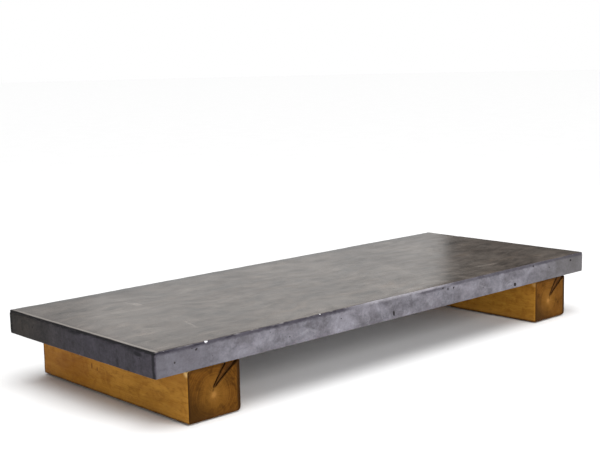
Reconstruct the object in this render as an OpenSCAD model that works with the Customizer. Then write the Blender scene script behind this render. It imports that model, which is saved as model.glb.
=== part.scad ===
// Low backless bench: one reinforced concrete slab on two squared-timber beams.
// Millimetres, +Z up. X runs along the bench, Y across it.
// The origin is on the ground, under the middle of the slab.

/* [Slab] */
// Length of the concrete slab, along X
slab_l = 2160; // [1800:10:2400]
// Depth of the slab, along Y
slab_w = 830; // [700:10:900]
// Thickness of the slab
slab_t = 80; // [70:1:100]
// Chamfer on every arris of the slab
slab_ch = 3; // [1:0.5:6]

/* [Beams] */
// Width of each timber beam, along X
beam_w = 200; // [160:5:240]
// Height of each timber beam
beam_h = 160; // [120:5:220]
// Distance from the slab's end to the outer face of its beam
overhang = 118; // [80:1:200]
// Distance from the slab's long side to the beam's end grain
end_inset = 7; // [0:1:40]
// Chamfer on the beam's arrises
beam_ch = 3; // [1:0.5:6]
// Radius of the worn lower arris on the +X side of each beam
worn_r = 11; // [5:1:16]

/* [Bolts] */
// Half the distance between the two bolts of one beam, along Y
bolt_y = 280; // [240:5:300]
// Clearance hole through the beam
hole_d = 14; // [13:0.5:16]
// Diameter of the counterbore that takes the washer and a socket wrench
cbore_d = 44; // [40:1:50]
// Depth of the counterbore, from the underside of the beam
cbore_h = 40; // [30:1:45]
// Nominal bolt diameter
bolt_d = 12; // [12:1:12]
// Length of the bolt under its head
bolt_l = 150; // [145:5:155]
// Washer outside diameter
washer_d = 37; // [34:1:38]
// Washer thickness
washer_t = 3; // [2:0.5:4]

/* [Cast-in sockets] */
// Outside diameter of the threaded socket
socket_d = 18; // [17:0.5:20]
// Length of the socket, from the slab's underside
socket_l = 55; // [50:1:58]
// Depth of the socket's bore
socket_bore = 40; // [36:1:41]
// Diameter of the nailing flange on the socket's open end
flange_d = 36; // [30:1:40]
// Thickness of the nailing flange
flange_t = 2; // [1.5:0.5:3]
// Diameter of the anchor pin that crosses the socket
pin_d = 8; // [6:1:8]
// Length of the anchor pin
pin_l = 90; // [60:5:110]

/* [Reinforcement] */
// Diameter of the bars that run along the bench
long_d = 10; // [8:1:12]
// Number of bars along the bench
long_n = 6; // [6:2:6]
// Spacing of the bars along the bench
long_pitch = 140; // [130:5:145]
// Diameter of the bars across the bench
cross_d = 8; // [6:1:8]
// Number of bars across the bench
cross_n = 11; // [9:2:11]
// Spacing of the bars across the bench
cross_pitch = 205; // [190:1:208]
// Concrete between the bars and the slab's underside
cover = 25; // [22:1:28]
// Gap left by the tie wire where two bars cross
tie_gap = 1.5; // [1.2:0.1:2]
// Concrete between the ends of the bars and the slab's sides
end_cover = 30; // [25:5:40]

/* [Pads] */
// Thickness of the rubber strips between beam and slab
strip_t = 3; // [2:0.5:5]
// Width of one rubber strip
strip_w = 40; // [30:1:50]
// Thickness of the pads under the beams
pad_t = 4; // [3:0.5:6]
// Size of a pad along X
pad_x = 160; // [120:5:180]
// Size of a pad along Y
pad_y = 70; // [60:1:74]
// Diameter of the countersunk pad screw's head
screw_head_d = 9; // [8:0.5:10]
// Diameter of the pad screw's shank
screw_d = 4.5; // [4:0.5:5]
// Length of the pad screw
screw_l = 30; // [25:5:40]

/* [Hidden] */
$fn = 64;

fit = 0.05;                                    // gap round each cast-in piece
beam_l = slab_w - 2 * end_inset;               // length of a beam, along Y
beam_z = pad_t;                                // underside of the beams
strip_z = beam_z + beam_h;                     // top of the beams
slab_z = strip_z + strip_t;                    // underside of the slab
slab_top = slab_z + slab_t;                    // seat surface
beam_x = slab_l / 2 - overhang - beam_w / 2;   // centre of a beam
seat_z = beam_z + cbore_h;                     // step inside the counterbore
head_h = 7.5;                                  // hex head height
head_af = 18;                                  // hex head across flats
pin_z = slab_z + 47;                           // height of the anchor pins
long_z = slab_z + cover + long_d / 2;          // height of the long bars
cross_z = long_z + long_d / 2 + tie_gap + cross_d / 2;
pad_cy = beam_l / 2 - 58;                      // centre of a pad, along Y
pad_screw_x = pad_x / 2 - 22;                  // screws either side of a pad's centre
spacer_t = 3;                                  // thickness of a spacer's web
spacer_s = 30;                                 // spread of a spacer's feet
bolt_xy = [for (sx = [-1, 1], sy = [-1, 1]) [sx * beam_x, sy * bolt_y]];
pad_xy = [for (sx = [-1, 1], sy = [-1, 1]) [sx * beam_x, sy * pad_cy]];
screw_xy = [for (p = pad_xy, s = [-1, 1]) [p[0] + s * pad_screw_x, p[1]]];
long_y = [for (i = [0 : long_n - 1]) (i - (long_n - 1) / 2) * long_pitch];
cross_x = [for (i = [0 : cross_n - 1]) (i - (cross_n - 1) / 2) * cross_pitch];
spacer_xy = [for (x = [-2.5, -0.5, 0.5, 2.5] * cross_pitch * 1.2, y = [-2.5, -0.5, 0.5, 2.5] * long_pitch)
             if (abs(y) > long_pitch || abs(x) > cross_pitch) [x, y]];

// ---------- shared shapes ----------

// A rectangle with its four corners cut off by c.
module cut_rect(a, b, c) {
    polygon([[-a/2 + c, -b/2], [a/2 - c, -b/2], [a/2, -b/2 + c], [a/2, b/2 - c],
             [a/2 - c, b/2], [-a/2 + c, b/2], [-a/2, b/2 - c], [-a/2, -b/2 + c]]);
}

// A block on z = 0, centred in X and Y, with a chamfer c on all twelve edges.
module chamfered_block(l, w, h, c) {
    intersection() {
        linear_extrude(h) cut_rect(l, w, c);
        translate([0, w / 2, h / 2]) rotate([90, 0, 0]) linear_extrude(w) cut_rect(l, h, c);
        translate([-l / 2, 0, h / 2]) rotate([90, 0, 90]) linear_extrude(l) cut_rect(w, h, c);
    }
}

// A bar along X or along Y, centred on the origin.
module bar_x(d, l) { translate([-l / 2, 0, 0]) rotate([0, 90, 0]) cylinder(d = d, h = l); }
module bar_y(d, l) { translate([0, l / 2, 0]) rotate([90, 0, 0]) cylinder(d = d, h = l); }

// ---------- cast-in pieces; g grows them, to make their seats in the concrete ----------

module socket_outside(g = 0) {
    translate([0, 0, slab_z]) {
        cylinder(d = socket_d + 2 * g, h = socket_l + g);
        cylinder(d = flange_d + 2 * g, h = flange_t + g);
    }
}

module socket() {
    difference() {
        socket_outside();
        translate([0, 0, slab_z - 1]) cylinder(d = bolt_d + 0.2, h = socket_bore + 1);
        translate([0, 0, pin_z]) bar_y(pin_d + 2 * fit, socket_d + 2);
    }
}

module pin(g = 0) { translate([0, 0, pin_z]) bar_y(pin_d + 2 * g, pin_l + 2 * g); }

module long_bars(g = 0) {
    for (y = long_y) translate([0, y, long_z]) bar_x(long_d + 2 * g, slab_l - 2 * end_cover + 2 * g);
}

module cross_bars(g = 0) {
    for (x = cross_x) translate([x, 0, cross_z]) bar_y(cross_d + 2 * g, slab_w - 2 * end_cover + 2 * g);
}

// Two webs that stand crosswise on the mould and carry one long bar in a saddle.
module spacer_body() {
    h = cover + long_d / 2;
    translate([-spacer_s / 2, -spacer_t / 2, 0]) cube([spacer_s, spacer_t, h]);
    translate([-spacer_t / 2, -spacer_s / 2, 0]) cube([spacer_t, spacer_s, h]);
}

// ---------- nodes ----------

module concrete_slab() {
    color([0.48, 0.47, 0.48]) difference() {
        translate([0, 0, slab_z]) chamfered_block(slab_l, slab_w, slab_t, slab_ch);
        for (p = bolt_xy) translate([p[0], p[1], 0]) {
            translate([0, 0, -1]) socket_outside(fit);
            socket_outside(fit);
            pin(fit);
        }
        long_bars(fit);
        cross_bars(fit);
        for (p = spacer_xy) translate([p[0], p[1], slab_z]) spacer_body();
    }
}

// Section of a beam in X and Z: three cut arrises and one worn one.
module beam_section() {
    c = beam_ch;
    r = worn_r;
    difference() {
        polygon([[-beam_w/2 + c, 0], [beam_w/2, 0], [beam_w/2, beam_h - c], [beam_w/2 - c, beam_h],
                 [-beam_w/2 + c, beam_h], [-beam_w/2, beam_h - c], [-beam_w/2, c]]);
        difference() {
            translate([beam_w/2 - r, -1]) square([r + 1, r + 1]);
            translate([beam_w/2 - r, r]) circle(r = r);
        }
    }
}

module beam(sx) {
    color([0.58, 0.40, 0.18]) difference() {
        intersection() {
            translate([sx * beam_x, beam_l / 2, beam_z]) rotate([90, 0, 0]) linear_extrude(beam_l) beam_section();
            translate([sx * beam_x, 0, beam_z]) linear_extrude(beam_h) cut_rect(beam_w, beam_l, beam_ch);
            translate([sx * beam_x - beam_w / 2, 0, beam_z + beam_h / 2]) rotate([90, 0, 90])
                linear_extrude(beam_w) cut_rect(beam_l, beam_h, beam_ch);
        }
        for (sy = [-1, 1]) translate([sx * beam_x, sy * bolt_y, beam_z - 1]) {
            cylinder(d = hole_d, h = beam_h + 2);
            cylinder(d = cbore_d, h = cbore_h + 1);
        }
        for (p = screw_xy) if (p[0] * sx > 0)
            translate([p[0], p[1], 0]) cylinder(d = screw_d + 2 * fit, h = screw_l + 0.5);
    }
}

module bearing_strips(sx) {
    color([0.08, 0.08, 0.08]) for (s = [-1, 1])
        translate([sx * beam_x + s * 62 - strip_w / 2, -beam_l / 2 + 15, strip_z])
            cube([strip_w, beam_l - 30, strip_t]);
}

module beam_bolts() {
    color([0.66, 0.67, 0.68]) for (p = bolt_xy) translate([p[0], p[1], seat_z - washer_t]) {
        translate([0, 0, -head_h]) cylinder(d = head_af / cos(30), h = head_h, $fn = 6);
        cylinder(d = bolt_d, h = bolt_l - 1.5);
        translate([0, 0, bolt_l - 1.5]) cylinder(d1 = bolt_d, d2 = bolt_d - 3, h = 1.5);
    }
}

module bolt_washers() {
    color([0.70, 0.71, 0.72]) for (p = bolt_xy) translate([p[0], p[1], seat_z - washer_t]) difference() {
        cylinder(d = washer_d, h = washer_t);
        translate([0, 0, -1]) cylinder(d = bolt_d + 1, h = washer_t + 2);
    }
}

module threaded_sockets() {
    color([0.72, 0.70, 0.60]) for (p = bolt_xy) translate([p[0], p[1], 0]) socket();
}

module anchor_pins() {
    color([0.50, 0.50, 0.50]) for (p = bolt_xy) translate([p[0], p[1], 0]) pin();
}

module long_rebar() { color([0.40, 0.30, 0.25]) long_bars(); }

module cross_rebar() { color([0.42, 0.31, 0.26]) cross_bars(); }

module rebar_spacers() {
    color([0.55, 0.56, 0.58]) for (p = spacer_xy) translate([p[0], p[1], slab_z]) difference() {
        spacer_body();
        translate([0, 0, cover + long_d / 2]) bar_x(long_d + 2 * fit, spacer_s + 2);
    }
}

module foot_pads() {
    color([0.07, 0.07, 0.07]) for (p = pad_xy) translate([p[0], p[1], 0]) difference() {
        translate([-pad_x / 2, -pad_y / 2, 0]) cube([pad_x, pad_y, pad_t]);
        for (s = [-1, 1]) translate([s * pad_screw_x, 0, 0]) {
            translate([0, 0, -1]) cylinder(d = screw_d + 2 * fit, h = pad_t + 2);
            translate([0, 0, -0.01]) cylinder(d1 = screw_head_d + 2 * fit, d2 = screw_d + 2 * fit, h = 2.61);
        }
    }
}

module pad_screws() {
    color([0.75, 0.76, 0.78]) for (p = screw_xy) translate([p[0], p[1], 0.3]) difference() {
        union() {
            cylinder(d1 = screw_head_d - 1, d2 = screw_d, h = 2);
            translate([0, 0, 2]) cylinder(d = screw_d, h = screw_l - 6);
            translate([0, 0, screw_l - 4]) cylinder(d1 = screw_d, d2 = 0.6, h = 4);
        }
        translate([0, 0, -1]) cylinder(d = 2.6, h = 2, $fn = 6);
    }
}

concrete_slab();
beam(-1);  // left_beam
beam(1);  // right_beam
bearing_strips(-1);  // left_bearing_strips
bearing_strips(1);  // right_bearing_strips
beam_bolts();
bolt_washers();
threaded_sockets();
anchor_pins();
long_rebar();
cross_rebar();
rebar_spacers();
foot_pads();
pad_screws();
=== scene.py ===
import math
import random

import bmesh
import bpy
import numpy as np
from mathutils import Matrix, Vector, geometry, noise


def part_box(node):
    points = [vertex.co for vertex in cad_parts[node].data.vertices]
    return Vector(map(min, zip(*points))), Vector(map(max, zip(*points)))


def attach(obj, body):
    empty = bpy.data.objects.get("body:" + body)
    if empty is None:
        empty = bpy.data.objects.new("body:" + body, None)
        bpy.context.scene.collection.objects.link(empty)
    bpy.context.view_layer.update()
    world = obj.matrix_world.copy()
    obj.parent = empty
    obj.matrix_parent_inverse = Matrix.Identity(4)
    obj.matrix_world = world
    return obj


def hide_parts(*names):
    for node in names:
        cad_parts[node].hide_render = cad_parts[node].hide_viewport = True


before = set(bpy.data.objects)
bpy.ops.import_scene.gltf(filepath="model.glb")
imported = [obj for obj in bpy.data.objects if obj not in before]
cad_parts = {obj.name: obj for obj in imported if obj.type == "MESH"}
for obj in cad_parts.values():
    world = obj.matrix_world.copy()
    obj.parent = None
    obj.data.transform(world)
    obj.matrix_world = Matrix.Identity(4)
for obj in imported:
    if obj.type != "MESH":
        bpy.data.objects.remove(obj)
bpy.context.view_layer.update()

MM = 0.001
rng = random.Random(41)

# ------------------------------------------------------------------ camera

scene = bpy.context.scene
scene.view_settings.view_transform = "Standard"
scene.view_settings.look = "None"
scene.view_settings.exposure = 0.0
scene.view_settings.gamma = 1.0

cam_data = bpy.data.cameras.new("camera")
cam = bpy.data.objects.new("camera", cam_data)
scene.collection.objects.link(cam)
cam_data.sensor_width = 36.0
cam_data.lens = 67.643
cam_data.clip_start, cam_data.clip_end = 0.05, 200.0
cam.matrix_world = Matrix((
    (0.730144, 0.116898, -0.673219, -2.88453),
    (-0.682945, 0.093427, -0.724470, -2.97468),
    (-0.021792, 0.988740, 0.148051, 1.06848),
    (0, 0, 0, 1)))
scene.camera = cam


# ------------------------------------------------------------------ mesh helpers

def new_object(name, verts, faces, smooth=True):
    me = bpy.data.meshes.new(name)
    me.from_pydata([tuple(v) for v in verts], [], [tuple(f) for f in faces])
    bm = bmesh.new()
    bm.from_mesh(me)
    bmesh.ops.recalc_face_normals(bm, faces=bm.faces)
    if bm.calc_volume(signed=True) < 0:
        bmesh.ops.reverse_faces(bm, faces=bm.faces)
    bm.to_mesh(me)
    bm.free()
    me.polygons.foreach_set("use_smooth", [smooth] * len(me.polygons))
    me.update()
    o = bpy.data.objects.new(name, me)
    scene.collection.objects.link(o)
    return o


def join_parts(name, parts, smooth=False):
    """One object out of (verts, faces) pairs that stay separate solids."""
    verts, faces = [], []
    for v, f in parts:
        n = len(verts)
        verts += [tuple(p) for p in v]
        faces += [tuple(i + n for i in q) for q in f]
    return new_object(name, verts, faces, smooth)


def cut(obj, cutter, transfer=False):
    """obj minus cutter, applied to the mesh; the cutter goes away."""
    m = obj.modifiers.new("cut", "BOOLEAN")
    m.operation = "DIFFERENCE"
    m.object = cutter
    if transfer:
        m.material_mode = "TRANSFER"
    for solver in ("EXACT", "MANIFOLD"):
        m.solver = solver
        dg = bpy.context.evaluated_depsgraph_get()
        me = bpy.data.meshes.new_from_object(obj.evaluated_get(dg))
        if len(me.polygons):
            break
        bpy.data.meshes.remove(me)
    obj.modifiers.clear()
    old = obj.data
    obj.data = me
    bpy.data.meshes.remove(old)
    data = cutter.data
    bpy.data.objects.remove(cutter)
    bpy.data.meshes.remove(data)


def crisp(obj, degrees=32):
    obj.data.polygons.foreach_set("use_smooth", [True] * len(obj.data.polygons))
    obj.data.set_sharp_from_angle(angle=math.radians(degrees))


def solids(node):
    """(lowest, highest) corner of each separate solid of a CAD node."""
    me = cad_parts[node].data
    key, index = {}, []
    for v in me.vertices:
        index.append(key.setdefault(tuple(round(c, 5) for c in v.co), len(key)))
    root = list(range(len(key)))

    def find(i):
        while root[i] != i:
            root[i] = root[root[i]]
            i = root[i]
        return i

    for p in me.polygons:
        ids = [find(index[i]) for i in p.vertices]
        for i in ids[1:]:
            root[find(i)] = find(ids[0])
    groups = {}
    for co, i in key.items():
        groups.setdefault(find(i), []).append(co)
    out = []
    for g in groups.values():
        a = np.array(g)
        out.append((Vector(a.min(0)), Vector(a.max(0))))
    return sorted(out, key=lambda b: (round(b[0].x, 3), round(b[0].y, 3)))


def n1(x, y=0.0, z=0.0):
    return noise.noise(Vector((x, y, z)))


def fbm(p, octaves=4, h=0.9):
    return noise.fractal(Vector(p), h, 2.1, octaves)


def smooth(t, a, b):
    t = max(0.0, min(1.0, (t - a) / (b - a))) if a != b else float(t >= b)
    return t * t * (3 - 2 * t)


def outline(hx, hy, radii, step):
    """Closed outline of a rectangle with four corner radii (from -x-y, anticlockwise): points, outward normals and length so far."""
    pts = []
    corners = [(-hx, -hy, 180), (hx, -hy, 270), (hx, hy, 0), (-hx, hy, 90)]
    for i, (cx, cy, a0) in enumerate(corners):
        r = radii[i]
        sx, sy = (1 if cx > 0 else -1), (1 if cy > 0 else -1)
        ox, oy = cx - sx * r, cy - sy * r
        n = 4 if r < 6 * MM else 8
        for k in range(n + 1):
            a = math.radians(a0 + 90 * k / n)
            pts.append((ox + r * math.cos(a), oy + r * math.sin(a), math.cos(a), math.sin(a)))
        nx_, ny_ = corners[(i + 1) % 4][:2]
        r2 = radii[(i + 1) % 4]
        a = math.radians(a0 + 90)
        x0, y0 = pts[-1][:2]
        sx2, sy2 = (1 if nx_ > 0 else -1), (1 if ny_ > 0 else -1)
        b = math.radians(corners[(i + 1) % 4][2])
        x1, y1 = nx_ - sx2 * r2 + r2 * math.cos(b), ny_ - sy2 * r2 + r2 * math.sin(b)
        length = math.hypot(x1 - x0, y1 - y0)
        m = max(1, int(round(length / step)))
        for k in range(1, m):
            t = k / m
            pts.append((x0 + (x1 - x0) * t, y0 + (y1 - y0) * t, math.cos(a), math.sin(a)))
    s, total = [0.0], 0.0
    for p, q in zip(pts, pts[1:]):
        total += math.hypot(q[0] - p[0], q[1] - p[1])
        s.append(total)
    return pts, s


def prism(loop, rows, place, low_grid, high_grid, shape_cap):
    """A solid made of rings round an outline. rows[k] lists (inset, height) for outline point k, from one cap's inner ring to the other's.
    place turns (a, b, c) into a point of the frame. Both caps are filled with a triangulated grid whose points shape_cap moves."""
    k_n, r_n = len(loop), len(rows[0])
    half_a, half_b = max(abs(p[0]) for p in loop), max(abs(p[1]) for p in loop)
    verts, faces = [], []
    for j in range(r_n):
        for k, (a, b, _, _) in enumerate(loop):
            inset, c = rows[k][j]
            verts.append((a * (1 - inset / half_a), b * (1 - inset / half_b), c))
    for j in range(r_n - 1):
        for k in range(k_n):
            k2 = (k + 1) % k_n
            faces.append((j * k_n + k, j * k_n + k2, (j + 1) * k_n + k2, (j + 1) * k_n + k))
    for j, grid, side in ((0, low_grid, 0), (r_n - 1, high_grid, 1)):
        ring = verts[j * k_n:(j + 1) * k_n]
        lo_a, hi_a = min(p[0] for p in ring), max(p[0] for p in ring)
        lo_b, hi_b = min(p[1] for p in ring), max(p[1] for p in ring)
        na, nb = max(2, int((hi_a - lo_a) / grid)), max(2, int((hi_b - lo_b) / grid))
        inner = [(lo_a + (hi_a - lo_a) * (i + (0.25 if q % 2 else -0.25)) / na, lo_b + (hi_b - lo_b) * q / nb)
                 for i in range(1, na) for q in range(1, nb)]
        c0 = sum(p[2] for p in ring) / k_n
        flat = [Vector(p[:2]) for p in ring] + [Vector(p) for p in inner]
        edges = [(k, (k + 1) % k_n) for k in range(k_n)]
        out_v, _, out_f, orig, _, _ = geometry.delaunay_2d_cdt(flat, edges, [], 1, 1e-6)
        remap = {}
        for i, p in enumerate(out_v):
            src = [q for q in orig[i] if q < k_n]
            if src:
                remap[i] = j * k_n + src[0]
            else:
                remap[i] = len(verts)
                verts.append((p[0], p[1], shape_cap(p[0], p[1], c0, side)))
        for f in out_f:
            faces.append(tuple(remap[i] for i in f))
    return [place(*v) for v in verts], faces


def lump(centre, radii, seed, rough=0.25, level=2, turn=0.0):
    """An uneven ball, for air holes and broken-off corners."""
    bm = bmesh.new()
    bmesh.ops.create_icosphere(bm, subdivisions=level, radius=1.0)
    ca, sa = math.cos(turn), math.sin(turn)
    verts = []
    for v in bm.verts:
        k = 1 + rough * noise.noise(v.co * 1.7 + Vector((seed * 3.1, seed * 1.7, seed)))
        x, y, z = v.co.x * radii[0] * k, v.co.y * radii[1] * k, v.co.z * radii[2] * k
        x, z = x * ca - z * sa, x * sa + z * ca
        verts.append((centre[0] + x, centre[1] + y, centre[2] + z))
    faces = [tuple(v.index for v in f.verts) for f in bm.faces]
    bm.free()
    return verts, faces


def tube(cx, cy, z0, z1, r0, r1=None, n=48):
    """A closed cylinder or cone along Z."""
    r1 = r0 if r1 is None else r1
    verts = [(cx + r * math.cos(2 * math.pi * i / n), cy + r * math.sin(2 * math.pi * i / n), z)
             for z, r in ((z0, r0), (z1, r1)) for i in range(n)]
    faces = [(i, (i + 1) % n, n + (i + 1) % n, n + i) for i in range(n)]
    faces += [tuple(range(n)), tuple(range(n, 2 * n))]
    return verts, faces


def block(lo, hi):
    v = [(x, y, z) for z in (lo[2], hi[2]) for y in (lo[1], hi[1]) for x in (lo[0], hi[0])]
    f = [(0, 1, 3, 2), (4, 5, 7, 6), (0, 1, 5, 4), (2, 3, 7, 6), (0, 2, 6, 4), (1, 3, 7, 5)]
    return v, f


def lathe(profile, n=48, centre=(0, 0, 0)):
    """A closed solid from a closed (r, z) profile turned about Z; points on the axis are allowed only at its ends."""
    verts, faces = [], []
    on_axis = [r < 1e-9 for r, _ in profile]
    idx = []
    for (r, z), ax in zip(profile, on_axis):
        if ax:
            idx.append([len(verts)] * n)
            verts.append((centre[0], centre[1], centre[2] + z))
        else:
            idx.append(list(range(len(verts), len(verts) + n)))
            verts += [(centre[0] + r * math.cos(2 * math.pi * i / n), centre[1] + r * math.sin(2 * math.pi * i / n), centre[2] + z) for i in range(n)]
    pairs = list(zip(range(len(profile)), list(range(1, len(profile))) + [0]))
    for a, b in pairs:
        if on_axis[a] and on_axis[b]:
            continue
        for i in range(n):
            j = (i + 1) % n
            q = [idx[a][i], idx[a][j], idx[b][j], idx[b][i]]
            q = [v for k, v in enumerate(q) if v not in q[:k]]
            if len(q) > 2:
                faces.append(tuple(q))
    return verts, faces


# ------------------------------------------------------------------ material helpers

class Net:
    """A node material in a few short calls. Every method gives an output socket."""

    def __init__(self, name):
        self.mat = bpy.data.materials.new(name)
        self.mat.use_nodes = True
        self.t = self.mat.node_tree
        self.t.nodes.clear()
        self.out = self.t.nodes.new("ShaderNodeOutputMaterial")
        self.bsdf = self.t.nodes.new("ShaderNodeBsdfPrincipled")
        self.t.links.new(self.bsdf.outputs[0], self.out.inputs["Surface"])
        self.pos = self.t.nodes.new("ShaderNodeTexCoord").outputs["Object"]
        self.geo = self.t.nodes.new("ShaderNodeNewGeometry")
        self._xyz = None

    def put(self, socket, value):
        if isinstance(value, bpy.types.NodeSocket):
            self.t.links.new(value, socket)
        elif value is not None:
            socket.default_value = value

    def math(self, op, a, b=None, c=None, clamp=False):
        n = self.t.nodes.new("ShaderNodeMath")
        n.operation, n.use_clamp = op, clamp
        for s, v in zip(n.inputs, (a, b, c)):
            self.put(s, v)
        return n.outputs[0]

    def vec(self, op, a, b=None, scale=None):
        n = self.t.nodes.new("ShaderNodeVectorMath")
        n.operation = op
        self.put(n.inputs[0], a)
        if b is not None:
            self.put(n.inputs[1], b)
        if scale is not None:
            self.put(n.inputs["Scale"], scale)
        return n.outputs["Value"] if op in ("LENGTH", "DISTANCE", "DOT_PRODUCT") else n.outputs[0]

    def xyz(self, v=None):
        if v is None and self._xyz:
            return self._xyz
        n = self.t.nodes.new("ShaderNodeSeparateXYZ")
        self.put(n.inputs[0], self.pos if v is None else v)
        out = (n.outputs[0], n.outputs[1], n.outputs[2])
        if v is None:
            self._xyz = out
        return out

    def combine(self, x, y, z):
        n = self.t.nodes.new("ShaderNodeCombineXYZ")
        for s, v in zip(n.inputs, (x, y, z)):
            self.put(s, v)
        return n.outputs[0]

    def stretch(self, scale, v=None, offset=(0, 0, 0)):
        n = self.t.nodes.new("ShaderNodeMapping")
        self.put(n.inputs["Vector"], self.pos if v is None else v)
        n.inputs["Scale"].default_value = scale
        n.inputs["Location"].default_value = offset
        return n.outputs[0]

    def noise(self, v, scale, detail=4.0, rough=0.5, distortion=0.0, colour=False):
        n = self.t.nodes.new("ShaderNodeTexNoise")
        self.put(n.inputs["Vector"], self.pos if v is None else v)
        n.inputs["Scale"].default_value = scale
        n.inputs["Detail"].default_value = detail
        n.inputs["Roughness"].default_value = rough
        n.inputs["Distortion"].default_value = distortion
        return n.outputs["Color" if colour else "Fac"]

    def cells(self, v, scale, feature="F1", randomness=1.0):
        n = self.t.nodes.new("ShaderNodeTexVoronoi")
        n.feature = feature
        self.put(n.inputs["Vector"], self.pos if v is None else v)
        n.inputs["Scale"].default_value = scale
        n.inputs["Randomness"].default_value = randomness
        return n.outputs["Distance"]

    def map(self, v, a, b, c=0.0, d=1.0, soft=True):
        n = self.t.nodes.new("ShaderNodeMapRange")
        n.interpolation_type = "SMOOTHSTEP" if soft else "LINEAR"
        self.put(n.inputs[0], v)
        for s, x in zip(n.inputs[1:5], (a, b, c, d)):
            self.put(s, x)
        return n.outputs[0]

    def ramp(self, v, stops, mode="LINEAR"):
        n = self.t.nodes.new("ShaderNodeValToRGB")
        n.color_ramp.interpolation = mode
        e = n.color_ramp.elements
        while len(e) < len(stops):
            e.new(0.5)
        for el, (p, col) in zip(e, stops):
            el.position = p
            el.color = (*col, 1.0) if len(col) == 3 else col
        self.put(n.inputs[0], v)
        return n.outputs["Color"]

    def mix(self, fac, a, b, mode="MIX"):
        n = self.t.nodes.new("ShaderNodeMix")
        n.data_type, n.blend_type = "RGBA", mode
        self.put(n.inputs[0], fac)
        for s, v in ((n.inputs[6], a), (n.inputs[7], b)):
            self.put(s, (*v, 1.0) if isinstance(v, tuple) and len(v) == 3 else v)
        return n.outputs[2]

    def fmix(self, fac, a, b):
        n = self.t.nodes.new("ShaderNodeMix")
        n.data_type = "FLOAT"
        for s, v in zip((n.inputs[0], n.inputs[2], n.inputs[3]), (fac, a, b)):
            self.put(s, v)
        return n.outputs[0]

    def bump(self, height, strength=1.0, distance=0.001, normal=None):
        n = self.t.nodes.new("ShaderNodeBump")
        n.inputs["Strength"].default_value = strength
        n.inputs["Distance"].default_value = distance
        self.put(n.inputs["Height"], height)
        if normal is not None:
            self.put(n.inputs["Normal"], normal)
        return n.outputs[0]

    def finish(self, colour, rough, normal=None, metallic=0.0, **fixed):
        b = self.bsdf.inputs
        self.put(b["Base Color"], (*colour, 1.0) if isinstance(colour, tuple) and len(colour) == 3 else colour)
        self.put(b["Roughness"], rough)
        self.put(b["Metallic"], metallic)
        if normal is not None:
            self.put(b["Normal"], normal)
        for k, v in fixed.items():
            b[k].default_value = v
        return self.mat


def lin(r, g, b):
    """8-bit sRGB to linear."""
    return tuple(((c / 255 + 0.055) / 1.055) ** 2.4 if c > 10 else c / 255 / 12.92 for c in (r, g, b))


# ------------------------------------------------------------------ materials

SLAB_LO, SLAB_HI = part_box("concrete_slab")


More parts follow.
